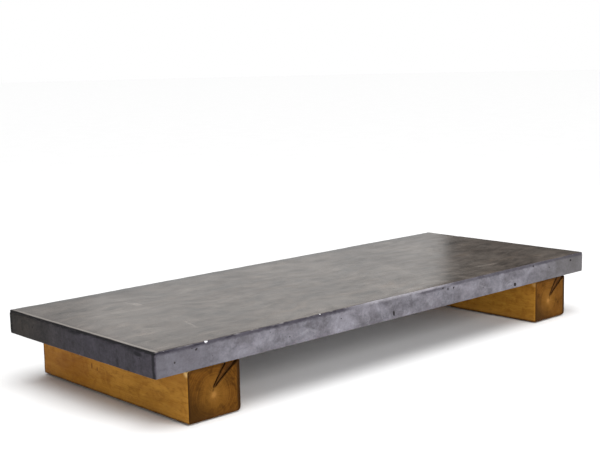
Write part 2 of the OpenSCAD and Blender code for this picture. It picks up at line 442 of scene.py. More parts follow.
def concrete(part):
    """Cast concrete: a trowelled, lightly sealed top, and mottled off-the-form sides. Both share the marks along their common arris."""
    m = Net("concrete_" + part)
    x, y, z = m.xyz()
    nz = m.xyz(m.geo.outputs["Normal"])[2]
    hx, hy, z1 = SLAB_HI.x, SLAB_HI.y, SLAB_HI.z
    in_x = m.math("SUBTRACT", hx, m.math("ABSOLUTE", x))
    in_y = m.math("SUBTRACT", hy, m.math("ABSOLUTE", y))
    left = m.map(x, -hx + 0.007, -hx + 0.002)
    front = m.math("MULTIPLY", m.map(y, -hy + 0.009, -hy + 0.003), m.math("SUBTRACT", 1.0, left))

    def vary(colour, *parts):
        """colour scaled by 1 + the sum of weight * (noise - 0.5)."""
        f = 1.0
        for weight, n_ in parts:
            f = m.math("ADD", f, m.math("MULTIPLY", m.math("SUBTRACT", n_, 0.5), weight))
        return m.vec("SCALE", colour, scale=m.math("MAXIMUM", f, 0.15))

    sand = m.noise(None, 430, 3, 0.7)
    grit = m.noise(None, 130, 4, 0.65)
    warp = m.vec("ADD", m.pos, m.vec("SCALE", m.vec("SUBTRACT", m.noise(None, 2.2, 3, 0.5, colour=True), (0.5, 0.5, 0.5)), scale=0.22))
    streak = m.noise(m.stretch((3.0, 15.0, 1.0), warp), 2.6, 5, 0.68, 0.5)
    sweep = m.noise(m.stretch((1.5, 3.6, 1.0), warp), 3.4, 5, 0.62, 0.6)
    blot2 = m.noise(m.stretch((1.0, 1.0, 1.5)), 30, 5, 0.62, 0.3)
    if part == "top":
        # broad clouding, trowel sweeps along the bench, mid-size dapple, fine sand
        cloud = m.noise(warp, 3.1, 5, 0.60)
        dapple = m.noise(m.stretch((1.0, 1.5, 1.0), warp), 17, 5, 0.62, 0.2)
        col = vary(m.mix(m.map(cloud, 0.36, 0.66), lin(76, 68, 62), lin(87, 80, 74)), (1.0, cloud), (1.3, sweep), (1.9, dapple), (1.1, streak), (0.40, grit), (0.15, sand))
        scuff = m.noise(m.stretch((5.0, 22.0, 1.0), warp, (3.0, 1.0, 0.0)), 2.6, 4, 0.62, 0.8)
        col = m.mix(m.map(scuff, 0.58, 0.80, 0.0, 0.55), col, lin(120, 111, 103))
        warm = m.noise(m.stretch((2.0, 7.0, 1.0), warp, (7.0, 0.0, 0.0)), 2.0, 3, 0.6)
        col = m.mix(m.map(warm, 0.56, 0.74, 0.0, 0.35), col, lin(112, 96, 82))
        for ux, uy, la, lb, turn, level in ((0.585, -0.297, 0.075, 0.012, -0.10, 0.50), (-0.748, 0.168, 0.050, 0.014, -1.35, 0.42), (-0.796, -0.210, 0.070, 0.005, 1.31, 0.40)):
            wander = m.math("MULTIPLY", m.math("SUBTRACT", m.noise(None, 20, 3, 0.6), 0.5), 0.030)
            du, dv = m.math("SUBTRACT", x, ux), m.math("SUBTRACT", y, uy)
            pa = m.math("DIVIDE", m.math("ADD", m.math("MULTIPLY", du, math.cos(turn)), m.math("MULTIPLY", dv, math.sin(turn))), la)
            pb = m.math("DIVIDE", m.math("ADD", wander, m.math("SUBTRACT", m.math("MULTIPLY", dv, math.cos(turn)), m.math("MULTIPLY", du, math.sin(turn)))), lb)
            patch = m.map(m.math("ADD", m.math("MULTIPLY", pa, pa), m.math("MULTIPLY", pb, pb)), 1.3, 0.1, 0.0, level)
            col = m.mix(m.math("MULTIPLY", patch, m.map(m.noise(None, 75, 4, 0.7), 0.40, 0.60, 0.25, 1.0)), col, lin(150, 141, 133))
        hair = m.cells(m.stretch((1.0, 9.0, 1.0), warp), 3.0, "DISTANCE_TO_EDGE")
        col = m.mix(m.math("MULTIPLY", m.map(hair, 0.010, 0.002), m.map(scuff, 0.50, 0.64, 0.0, 0.30)), col, lin(126, 118, 112))
    else:
        blot = m.noise(None, 9, 5, 0.62, 0.4)
        paste = m.noise(m.stretch((1.0, 1.0, 2.4)), 4.5, 4, 0.6)
        base = m.mix(m.map(blot, 0.38, 0.62), lin(102, 99, 105), lin(111, 109, 116))
        s_col = vary(base, (1.0, blot), (1.3, blot2), (0.9, paste), (0.8, grit), (0.35, sand))
        smudge = m.noise(m.stretch((1.0, 1.0, 2.2), None, (5.0, 0.0, 0.0)), 15, 4, 0.6, 0.8)
        s_col = m.mix(m.map(smudge, 0.54, 0.74, 0.0, 0.38), s_col, lin(62, 60, 67))
        s_col = m.mix(m.map(smudge, 0.44, 0.28, 0.0, 0.32), s_col, lin(148, 147, 154))
        # the ends of the long face are greyer
        s_col = m.mix(m.map(in_x, 0.44, 0.02, 0.0, 0.64), s_col, m.mix(m.map(x, -0.5, 0.5), lin(74, 72, 78), lin(80, 77, 73)))
        # a darker end face: painted shade, its colour darkened because that side is turned away from the key light
        stain = m.noise(m.stretch((1.0, 1.0, 0.45)), 15, 4, 0.62, 0.4)
        e_col = vary(m.mix(m.map(y, -0.10, 0.38), lin(52, 49, 55), lin(46, 42, 38)), (2.0, stain), (2.5, blot2), (1.1, grit), (0.6, sand))
        s_col = m.mix(m.math("MULTIPLY", left, 0.95), s_col, e_col)
        # underside: plain form face
        under = m.map(nz, -0.6, -0.92)
        col = m.mix(under, s_col, vary(lin(112, 108, 110), (1.6, blot), (1.2, blot2), (0.8, grit)))
    # under the top arris the long face is painted dark: painted shade, and a painted dark reflection in the rounded
    # arris
    ragged = m.math("MULTIPLY", m.math("SUBTRACT", m.noise(None, 48, 4, 0.65), 0.5), 0.014)
    down = m.math("SUBTRACT", z1, z)
    rag_down = m.math("ADD", down, ragged)
    along = m.noise(m.stretch((1.0, 0.0, 0.0)), 7.0, 4, 0.7)
    arris_shade = m.math("MULTIPLY", m.map(rag_down, 0.0165, 0.0085), m.map(down, 0.0004, 0.0020))
    share = m.math("MULTIPLY", m.map(x, -0.25, -0.32), m.map(along, 0.25, 0.60, 0.62, 0.95))
    share = m.math("MAXIMUM", share, m.math("MULTIPLY", m.map(x, 0.18, 0.28), m.map(along, 0.30, 0.60, 0.42, 0.85)))
    share = m.math("MAXIMUM", share, m.map(along, 0.56, 0.72, 0.0, 0.45))
    col = m.mix(m.math("MULTIPLY", m.math("MULTIPLY", arris_shade, front), share), col, lin(62, 59, 67))
    # painted shadow: a thin darker line in the shade under the trowelled lip
    core = m.math("MULTIPLY", m.map(rag_down, 0.0085, 0.0060), m.map(rag_down, 0.0015, 0.0040))
    where = m.math("MULTIPLY", m.map(x, -0.27, -0.32), m.map(m.noise(m.stretch((1.0, 0.0, 0.0), None, (4.0, 0, 0)), 9.0, 3, 0.7), 0.45, 0.60))
    where = m.math("MAXIMUM", where, m.map(x, -0.99, -1.04))
    col = m.mix(m.math("MULTIPLY", m.math("MULTIPLY", core, front), m.math("MULTIPLY", where, 0.8)), col, lin(36, 34, 41))
    # small paler spots of wear along the arrises, and a painted highlight near the middle of the long arris
    arris = m.math("MULTIPLY", m.map(m.math("MINIMUM", in_x, in_y), 0.0065, 0.0030), m.map(down, 0.0045, 0.0018))
    rub = m.math("MULTIPLY", m.map(m.noise(None, 30, 4, 0.62), 0.52, 0.70, 0.0, 0.42), m.map(x, -hx + 0.03, -hx + 0.06))
    rub = m.math("MULTIPLY", rub, m.math("SUBTRACT", 1.0, m.math("MULTIPLY", m.map(x, 0.18, 0.28), m.map(y, 0.0, -0.1, 0.0, 0.85))))
    col = m.mix(m.math("MULTIPLY", arris, rub), col, lin(150, 146, 144))
    # painted highlight: the rounded arris near the middle painted pale, as if catching the light
    pale = m.math("MULTIPLY", m.math("MULTIPLY", m.map(x, -0.27, -0.14), m.map(x, 0.21, 0.12)), m.map(rag_down, 0.0120, 0.0050))
    pale = m.math("MULTIPLY", m.math("MULTIPLY", pale, m.map(in_y, 0.006, 0.003)), m.map(along, 0.25, 0.65, 0.15, 0.65))
    col = m.mix(m.math("MULTIPLY", pale, m.map(y, 0.0, -0.1)), col, lin(160, 157, 163))
    # painted shadow: a dark line just below the painted highlight, right of the middle
    beneath = m.math("MULTIPLY", m.math("MULTIPLY", m.map(x, 0.04, 0.08), m.map(x, 0.23, 0.19)), m.math("MULTIPLY", m.map(rag_down, 0.0075, 0.0105), m.map(rag_down, 0.0200, 0.0145)))
    col = m.mix(m.math("MULTIPLY", m.math("MULTIPLY", beneath, front), 0.65), col, lin(62, 59, 67))
    # the end's top arris is painted dark as a painted shadow line under its rounded lip, with a painted highlight line
    # inside it on the top
    end_arris_shadow = m.math("MULTIPLY", m.math("MULTIPLY", m.map(in_x, 0.0060, 0.0040), m.map(x, 0.0, -0.1)), m.map(m.math("ADD", rag_down, m.map(y, 0.0, 0.35, 0.0, 0.0012)), 0.0108, 0.0058))
    col = m.mix(m.math("MULTIPLY", end_arris_shadow, m.map(m.noise(m.stretch((0.0, 1.0, 0.0)), 14.0, 4, 0.7), 0.30, 0.60, 0.62, 0.96)), col, lin(19, 18, 20))
    if part == "top":
        # painted highlight: a pale line on the top just inside the end's arris
        line = m.math("MULTIPLY", m.math("MULTIPLY", m.map(in_x, 0.0055, 0.0075), m.map(in_x, 0.0190, 0.0125)), m.map(x, 0.0, -0.1))
        col = m.mix(m.math("MULTIPLY", line, 0.55), col, lin(138, 130, 123))
        # the strip along the back of the top is darker
        back = m.math("MULTIPLY", m.map(m.math("ADD", in_y, m.math("MULTIPLY", m.math("SUBTRACT", dapple, 0.5), 0.06)), 0.085, 0.020), m.map(y, 0.0, 0.1))
        col = m.mix(m.math("MULTIPLY", m.math("MULTIPLY", back, m.map(in_x, 0.03, 0.12, 0.35, 1.0)), 0.72), col, lin(42, 38, 35))
    # dark wavy bands on the end face along its near and far vertical corners
    wavy_y = m.math("ADD", y, m.math("MULTIPLY", ragged, 0.55))
    near_corner = m.math("MULTIPLY", m.map(wavy_y, -hy + 0.0170, -hy + 0.0100), m.map(wavy_y, -hy + 0.0010, -hy + 0.0040))
    col = m.mix(m.math("MULTIPLY", m.math("MULTIPLY", near_corner, left), 0.80), col, lin(24, 23, 27))
    far_corner = m.math("MULTIPLY", m.map(wavy_y, hy - 0.0250, hy - 0.0140), m.map(x, -hx + 0.0080, -hx + 0.0055))
    col = m.mix(m.math("MULTIPLY", far_corner, 0.85), col, lin(20, 20, 20))
    for sy, sz, wy, wz, level in ((-0.332, 0.2285, 0.024, 0.0075, 0.80), (-0.300, 0.2330, 0.030, 0.0050, 0.45), (0.008, 0.2350, 0.040, 0.0060, 0.60)):
        dy = m.math("DIVIDE", m.math("SUBTRACT", m.math("ADD", y, m.math("MULTIPLY", ragged, 1.4)), sy), wy)
        dz = m.math("DIVIDE", m.math("SUBTRACT", m.math("ADD", z, m.math("MULTIPLY", ragged, 0.5)), sz), wz)
        spot = m.map(m.math("ADD", m.math("MULTIPLY", dy, dy), m.math("MULTIPLY", dz, dz)), 1.2, 0.2, 0.0, level)
        col = m.mix(m.math("MULTIPLY", spot, left), col, lin(20, 19, 23))
    # the far long arris is darker as well
    far = m.math("MULTIPLY", m.map(in_y, 0.0110, 0.0060), m.map(y, 0.0, 0.1))
    col = m.mix(m.math("MULTIPLY", far, m.map(z, z1 - 0.012, z1 - 0.006, 0.0, 0.80)), col, lin(34, 31, 30))
    # surface: the sealed top is smooth with smears, the sides are rough
    if part == "top":
        smear = m.noise(m.stretch((2.4, 6.0, 1.0), warp), 3.6, 5, 0.62)
        rough = m.map(smear, 0.3, 0.72, 0.19, 0.27)
        h = m.math("ADD", m.math("MULTIPLY", grit, 0.016), m.math("ADD", m.math("MULTIPLY", streak, 0.020), m.math("MULTIPLY", sweep, 0.034)))
        return m.finish(col, rough, m.bump(h, 0.7, 0.0009), IOR=1.5, **{"Specular IOR Level": 0.5})
    pits = m.math("MULTIPLY", m.map(m.cells(None, 190), 0.16, 0.09), m.map(m.noise(None, 9, 2), 0.52, 0.64))
    col = m.mix(m.math("MULTIPLY", pits, 0.55), col, lin(44, 42, 43))
    h = m.math("ADD", m.math("MULTIPLY", grit, 0.5), m.math("ADD", m.math("MULTIPLY", blot2, 0.6), m.math("MULTIPLY", sand, 0.2)))
    h = m.math("SUBTRACT", h, m.math("MULTIPLY", pits, 0.9))
    return m.finish(col, m.map(blot2, 0.3, 0.7, 0.62, 0.82), m.bump(h, 0.75, 0.0010), IOR=1.5, **{"Specular IOR Level": 0.16})


def dull_concrete():
    """Inside the small old chips: the same paste, gone grey."""
    m = Net("concrete_chip_old")
    g = m.noise(None, 380, 4, 0.7)
    c = m.mix(m.map(g, 0.40, 0.68), lin(146, 143, 145), lin(104, 101, 104))
    return m.finish(c, 0.85, m.bump(g, 0.8, 0.0010), **{"Specular IOR Level": 0.2})


def broken_concrete():
    """Inside a chip: pale sandy paste with darker grains."""
    m = Net("concrete_broken")
    g = m.noise(None, 380, 4, 0.7)
    c = m.mix(m.map(g, 0.42, 0.70), lin(226, 226, 229), lin(160, 158, 159))
    c = m.mix(m.map(m.cells(None, 420), 0.24, 0.14), c, lin(120, 117, 116))
    return m.finish(c, 0.85, m.bump(g, 0.8, 0.0012))


def dark_hole():
    """Inside an air hole: dusty and dark."""
    m = Net("concrete_air_hole")
    g = m.noise(None, 600, 3, 0.7)
    c = m.mix(m.map(g, 0.35, 0.7), lin(40, 38, 40), lin(74, 70, 72))
    return m.finish(c, 0.9, m.bump(g, 0.6, 0.0008))


def timber(name, cx, cz, z0, z1, half_w, seed, knots=()):
    """Boxed-heart softwood, oiled. The rings are one 3-D field round the pith, so the end grain and the faces agree."""
    m = Net(name)
    x, y, z = m.xyz()
    ny = m.math("ABSOLUTE", m.xyz(m.geo.outputs["Normal"])[1])
    end = m.map(ny, 0.6, 0.85)
    along = m.combine(0.0, m.math("ADD", y, seed * 3.7), seed * 1.3)
    wander = m.vec("SCALE", m.vec("SUBTRACT", m.noise(along, 1.3, 2, 0.4, colour=True), (0.5, 0.5, 0.5)), scale=0.030)
    local = m.vec("SUBTRACT", m.pos, (cx, 0.0, cz))
    fine = m.vec("SCALE", m.vec("SUBTRACT", m.noise(m.stretch((1.0, 0.16, 1.0), None, (seed, seed, seed)), 22, 4, 0.55, colour=True), (0.5, 0.5, 0.5)), scale=0.014)
    swell = m.vec("SCALE", m.vec("SUBTRACT", m.noise(m.stretch((1.0, 0.35, 1.0), None, (seed, 0, seed)), 6.5, 2, 0.5, colour=True), (0.5, 0.5, 0.5)), scale=0.026)
    p = m.vec("ADD", m.vec("ADD", local, wander), m.vec("ADD", fine, swell))
    px, _, pz = m.xyz(p)
    # growth turns aside round each knot
    knot_dark, knot_rim = 0.0, 0.0
    r = m.math("SQRT", m.math("ADD", m.math("MULTIPLY", px, px), m.math("MULTIPLY", pz, pz)))
    for kx, ky, kz, kr, axis, squash in knots:
        dy = m.math("MULTIPLY", m.math("SUBTRACT", y, ky), squash)
        other, k_other = (z, kz) if axis == "x" else (x, kx)
        side = m.math("SUBTRACT", other, k_other)
        d = m.math("SQRT", m.math("ADD", m.math("MULTIPLY", dy, dy), m.math("MULTIPLY", side, side)))
        dn = m.math("ADD", d, m.math("MULTIPLY", m.math("SUBTRACT", m.noise(None, 70, 2), 0.5), kr * 0.6))
        this = m.math("SUBTRACT", x, kx) if axis == "x" else m.math("SUBTRACT", z, kz)
        near = m.map(m.math("ABSOLUTE", this), 0.055, 0.035)
        core = m.math("MULTIPLY", m.map(dn, kr, kr * 0.55), near)
        rim = m.math("MULTIPLY", m.math("MULTIPLY", m.map(dn, kr * 1.35, kr), m.map(dn, kr * 0.6, kr * 0.95)), near)
        push = m.math("MULTIPLY", m.math("MULTIPLY", m.map(d, kr * 4.5, kr * 0.5), near), kr * 0.9)
        r = m.math("ADD", r, push)
        knot_dark = m.math("MAXIMUM", knot_dark, core)
        knot_rim = m.math("MAXIMUM", knot_rim, rim)
    rings = m.math("MULTIPLY", m.math("POWER", r, 0.86), 112.0)
    vary = m.noise(m.combine(rings, seed, 0.0), 0.35, 2, 0.5)
    phase = m.math("FRACT", m.math("ADD", rings, m.math("MULTIPLY", vary, 0.9)))
    late = m.math("MULTIPLY", m.map(phase, 0.25, 0.86), m.map(phase, 1.0, 0.93))
    late = m.math("MULTIPLY", late, m.map(vary, 0.25, 0.7, 0.45, 1.0))
    fibre = m.noise(m.stretch((1.0, 0.022, 1.0), None, (seed, 0, 0)), 620, 4, 0.62)
    fleck = m.noise(m.stretch((1.0, 0.07, 1.0), None, (0, seed, 0)), 150, 4, 0.6)
    patch = m.noise(m.stretch((1.0, 0.40, 1.0), None, (seed, seed, 0)), 10, 5, 0.6, 0.4)
    # side grain: oiled to a golden brown, so the rings show only faintly
    side_c = m.mix(m.math("MULTIPLY", late, 0.30), lin(174, 124, 47), lin(144, 95, 31))
    side_c = m.mix(m.map(patch, 0.44, 0.66, 0.0, 0.60), side_c, lin(134, 88, 27))
    side_c = m.mix(m.map(patch, 0.42, 0.28, 0.0, 0.45), side_c, lin(188, 134, 56))
    blotch = m.noise(m.stretch((1.0, 0.75, 1.0), None, (seed, 0.0, seed)), 24, 4, 0.62, 0.8)
    side_c = m.mix(m.map(blotch, 0.50, 0.70, 0.0, 0.55), side_c, lin(115, 74, 20))
    speck = m.noise(m.stretch((1.0, 0.35, 1.0), None, (0.0, seed, seed)), 90, 5, 0.68)
    side_c = m.mix(m.map(speck, 0.50, 0.70, 0.0, 0.55), side_c, lin(109, 69, 17))
    side_c = m.mix(m.map(speck, 0.46, 0.30, 0.0, 0.45), side_c, lin(188, 134, 56))
    side_c = m.mix(m.map(fibre, 0.50, 0.72, 0.0, 0.42), side_c, lin(103, 65, 17))
    side_c = m.mix(m.map(fleck, 0.56, 0.74, 0.0, 0.30), side_c, lin(118, 73, 21))
    side_c = m.mix(m.map(z, z0 + 0.050, z0, 0.0, 0.30), side_c, lin(192, 138, 60))
    side_c = m.mix(m.map(y, -0.22, -0.38, 0.0, 0.25), side_c, lin(118, 74, 22))
    # darker toward the back, and painted shade on the side just under the slab
    side_c = m.mix(m.map(y, -0.20, 0.30, 0.0, 0.30), side_c, lin(158, 92, 22))
    side_c = m.mix(m.map(m.math("ADD", z, m.math("MULTIPLY", blotch, 0.02)), z1 - 0.060, z1 + 0.004, 0.0, 0.42), side_c, lin(116, 70, 18))
    # end grain: oil soaked in, so it is darker; paler heart, rays, rings
    ang = m.math("ARCTAN2", pz, px)
    rays = m.noise(m.combine(m.math("MULTIPLY", ang, 9.0), m.math("MULTIPLY", r, 9.0), seed), 2.4, 5, 0.7)
    mott = m.noise(m.stretch((1.0, 1.0, 1.0), None, (seed, seed, seed)), 26, 5, 0.62, 0.4)
    band = m.noise(m.combine(m.math("MULTIPLY", r, 60.0), seed, 2.0), 2.2, 2, 0.5)
    end_c = m.mix(m.math("MULTIPLY", late, 0.42), lin(96, 60, 16), lin(58, 34, 7))
    uneven = m.map(mott, 0.38, 0.62, 0.15, 0.75)
    end_c = m.mix(m.math("MULTIPLY", m.map(band, 0.46, 0.66, 0.0, 0.75), uneven), end_c, lin(54, 32, 7))
    end_c = m.mix(m.math("MULTIPLY", m.map(band, 0.44, 0.30, 0.0, 0.60), uneven), end_c, lin(119, 79, 25))
    end_c = m.mix(m.map(rays, 0.50, 0.74, 0.0, 0.5), end_c, lin(106, 69, 20))
    end_c = m.mix(m.map(mott, 0.48, 0.70, 0.0, 0.70), end_c, lin(50, 29, 6))
    end_c = m.mix(m.map(mott, 0.46, 0.30, 0.0, 0.45), end_c, lin(110, 72, 21))
    broad = m.map(r, 0.078, 0.030)
    end_c = m.mix(m.math("MULTIPLY", broad, m.map(rays, 0.30, 0.66, 0.20, 0.60)), end_c, lin(119, 81, 29))
    heart = m.map(r, 0.030, 0.006)
    end_c = m.mix(m.math("MULTIPLY", heart, m.map(rays, 0.30, 0.66, 0.15, 0.75)), end_c, lin(134, 94, 42))
    end_c = m.mix(m.map(r, 0.0130, 0.0030, 0.0, 0.62), end_c, lin(150, 106, 52))
    flip = m.map(y, -0.01, 0.01, 1.0, -1.0, False)
    u = m.math("MULTIPLY", m.math("SUBTRACT", x, cx_mid(name)), flip)
    low_left = m.math("ADD", m.math("MULTIPLY", m.math("SUBTRACT", z, (z0 + z1) / 2), -0.8), m.math("MULTIPLY", u, -0.75))
    end_c = m.mix(m.map(m.math("ADD", low_left, m.math("MULTIPLY", mott, 0.02)), 0.025, 0.120, 0.0, 0.80), end_c, lin(50, 31, 8))
    # the wedge between the two splits dried darker
    wa = m.math("SUBTRACT", m.math("MULTIPLY", m.math("ADD", u, half_w - 0.096), 0.85), m.math("MULTIPLY", m.math("SUBTRACT", z, z0 + 0.092), 0.527))
    wb = m.math("SUBTRACT", m.math("MULTIPLY", m.math("SUBTRACT", z, z0 + 0.092), 0.78), m.math("MULTIPLY", m.math("ADD", u, half_w - 0.096), 0.62))
    wedge = m.math("MULTIPLY", m.map(wa, -0.002, 0.004), m.map(wb, -0.002, 0.004))
    end_c = m.mix(m.math("MULTIPLY", wedge, m.map(mott, 0.3, 0.7, 0.35, 0.65)), end_c, lin(62, 34, 10))
    halo = m.math("MAXIMUM", m.map(m.math("ABSOLUTE", wa), 0.0085, 0.0025), m.map(m.math("ABSOLUTE", wb), 0.0095, 0.0030))
    halo = m.math("MULTIPLY", m.math("MULTIPLY", halo, m.map(z, z0 + 0.086, z0 + 0.098)), m.map(m.math("ADD", u, half_w), 0.088, 0.096))
    end_c = m.mix(m.math("MULTIPLY", halo, m.map(mott, 0.25, 0.65, 0.35, 0.80)), end_c, lin(44, 26, 8))
    edge_w = m.math("SUBTRACT", half_w, m.math("ABSOLUTE", u))
    edge_h = m.math("MINIMUM", m.math("SUBTRACT", z, z0), m.math("SUBTRACT", z1, z))
    jitter = m.math("MULTIPLY", m.math("SUBTRACT", mott, 0.5), 0.012)
    rim = m.map(m.math("ADD", m.math("MINIMUM", edge_w, edge_h), jitter), 0.013, 0.001, 0.0, 0.45)
    end_c = m.mix(rim, end_c, lin(48, 26, 7))
    right_rim = m.map(m.math("ADD", m.math("SUBTRACT", half_w, u), jitter), 0.016, 0.009, 0.0, 0.85)
    end_c = m.mix(right_rim, end_c, lin(42, 24, 7))
    left_rim = m.map(m.math("ADD", m.math("ADD", half_w, u), jitter), 0.0095, 0.0020, 0.0, 0.60)
    end_c = m.mix(left_rim, end_c, lin(40, 23, 6))
    # painted highlight: a pale spot on the front top corner of the beam's outer side, just under the slab, stronger on
    # the left beam
    corner_highlight = m.vec("DISTANCE", m.vec("ADD", m.pos, (0.0, 0.0, 0.0)), (cx_mid(name) - half_w, -0.404, z1 - 0.004))
    side_c = m.mix(m.map(m.math("ADD", corner_highlight, m.math("MULTIPLY", m.math("SUBTRACT", mott, 0.5), 0.012)), 0.019, 0.006, 0.0, 0.80 if "left" in name else 0.28), side_c, lin(216, 180, 118))
    # painted shade: dark lines along the side's bottom edge, where it meets the floor, and along its back end
    side_c = m.mix(m.map(m.math("ADD", m.math("SUBTRACT", z, z0), m.math("MULTIPLY", jitter, 0.5)), 0.0085, 0.0030, 0.0, 0.62), side_c, lin(66, 38, 10))
    side_c = m.mix(m.map(m.math("ADD", y, m.math("MULTIPLY", jitter, 0.4)), 0.396, 0.403, 0.0, 0.60), side_c, lin(66, 38, 10))
    if "right" in name:
        end_c = m.vec("SCALE", end_c, scale=1.16)
    col = m.mix(end, side_c, end_c)
    if knots:
        col = m.mix(m.math("MULTIPLY", knot_dark, 0.75), col, lin(98, 56, 20))
        col = m.mix(m.math("MULTIPLY", knot_rim, 0.80), col, lin(58, 32, 12))
    # handling marks near the floor
    grime = m.math("MULTIPLY", m.map(z, z0 + 0.030, z0 + 0.002), m.map(m.noise(None, 16, 4, 0.6), 0.35, 0.7))
    col = m.mix(m.math("MULTIPLY", grime, 0.35), col, lin(84, 54, 24))
    # surface
    saw = m.noise(m.stretch((1.0, 26.0, 0.5)), 14, 2, 0.5)
    hs = m.math("ADD", m.math("MULTIPLY", fibre, 0.5), m.math("ADD", m.math("MULTIPLY", late, -0.35), m.math("MULTIPLY", saw, 0.25)))
    he = m.math("ADD", m.math("MULTIPLY", late, 0.5), m.math("MULTIPLY", m.noise(None, 700, 3, 0.6), 0.5))
    h = m.fmix(end, hs, he)
    rough = m.fmix(end, m.map(fleck, 0.3, 0.7, 0.42, 0.58), m.map(mott, 0.3, 0.7, 0.6, 0.8))
    return m.finish(col, rough, m.bump(h, 0.55, 0.0006), IOR=1.45, **{"Specular IOR Level": 0.06})


BEAM_BOX = {n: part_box(n) for n in ("left_beam", "right_beam")}


def cx_mid(name):
    lo, hi = BEAM_BOX["left_beam" if "left" in name else "right_beam"]
    return (lo.x + hi.x) / 2


def crack_inside():
    """Inside a drying crack: raw, dark wood."""
    m = Net("timber_crack")
    f = m.noise(m.stretch((1.0, 0.08, 1.0)), 260, 4, 0.6)
    c = m.mix(m.map(f, 0.35, 0.68), lin(40, 23, 8), lin(78, 47, 17))
    return m.finish(c, 0.9, m.bump(f, 0.6, 0.0008), **{"Specular IOR Level": 0.05})


def rubber(name, grit=0.0):
    m = Net(name)
    n_ = m.noise(None, 240, 4, 0.65)
    c = m.mix(m.map(n_, 0.35, 0.7), lin(26, 26, 27), lin(46, 46, 47))
    if grit:
        cell = m.cells(None, 380)
        c = m.mix(m.map(cell, 0.24, 0.12, 0.0, grit), c, lin(92, 92, 94))
        n_ = m.math("ADD", n_, cell)
    return m.finish(c, m.map(n_, 0.3, 0.7, 0.62, 0.82), m.bump(n_, 0.6, 0.0006))


def galvanised():
    m = Net("steel_hot_dip_zinc")
    sp = m.cells(None, 130)
    n_ = m.noise(None, 60, 5, 0.65)
    c = m.mix(m.map(sp, 0.1, 0.6), lin(150, 154, 158), lin(186, 189, 192))
    c = m.mix(m.map(n_, 0.55, 0.75, 0.0, 0.5), c, lin(206, 207, 206))
    return m.finish(c, m.map(n_, 0.3, 0.7, 0.38, 0.6), m.bump(m.noise(None, 420, 3, 0.6), 0.4, 0.0003), metallic=0.9)


def passivated():
    m = Net("steel_yellow_zinc")
    n_ = m.noise(None, 90, 4, 0.6)
    c = m.mix(m.map(n_, 0.35, 0.7), lin(186, 166, 104), lin(206, 196, 158))
    return m.finish(c, m.map(n_, 0.3, 0.7, 0.3, 0.45), m.bump(m.noise(m.stretch((1.0, 1.0, 20.0)), 60, 2), 0.3, 0.0003), metallic=0.9)


def stainless():
    m = Net("steel_stainless")
    n_ = m.noise(m.stretch((1.0, 1.0, 14.0)), 160, 3, 0.6)
    c = m.mix(m.map(n_, 0.3, 0.7), lin(188, 190, 192), lin(214, 215, 216))
    return m.finish(c, m.map(n_, 0.3, 0.7, 0.22, 0.36), m.bump(n_, 0.3, 0.0002), metallic=1.0)


def bar_steel(name, along, seed):
    """Reinforcing bar: blue-grey mill scale with rust, and the rolled ribs."""
    m = Net(name)
    scale_n = m.noise(None, 45 + seed, 5, 0.65)
    rust_n = m.noise(m.stretch((0.5, 0.5, 0.5)), 22 + seed, 5, 0.7, 0.4)
    c = m.mix(m.map(scale_n, 0.35, 0.7), lin(66, 66, 72), lin(96, 94, 98))
    c = m.mix(m.map(rust_n, 0.42, 0.62), c, lin(124, 66, 34))
    c = m.mix(m.map(rust_n, 0.60, 0.76, 0.0, 0.8), c, lin(160, 92, 46))
    x, y, z = m.xyz()
    a = x if along == "x" else y
    side = y if along == "x" else x
    rib = m.math("SINE", m.math("ADD", m.math("MULTIPLY", a, 2 * math.pi / 0.0065), m.math("MULTIPLY", m.math("ADD", side, z), 420.0)))
    h = m.math("ADD", m.map(rib, 0.1, 0.7), m.math("MULTIPLY", scale_n, 0.3))
    metal = m.map(rust_n, 0.42, 0.6, 0.75, 0.1)
    return m.finish(c, m.map(rust_n, 0.4, 0.65, 0.45, 0.85), m.bump(h, 0.9, 0.0009), metallic=metal)


def grey_plastic():
    m = Net("plastic_spacer_grey")
    n_ = m.noise(None, 130, 3, 0.6)
    c = m.mix(m.map(n_, 0.35, 0.7), lin(142, 144, 148), lin(164, 166, 168))
    return m.finish(c, m.map(n_, 0.3, 0.7, 0.42, 0.55), m.bump(m.noise(None, 800, 2), 0.25, 0.0003))


# ------------------------------------------------------------------ slab

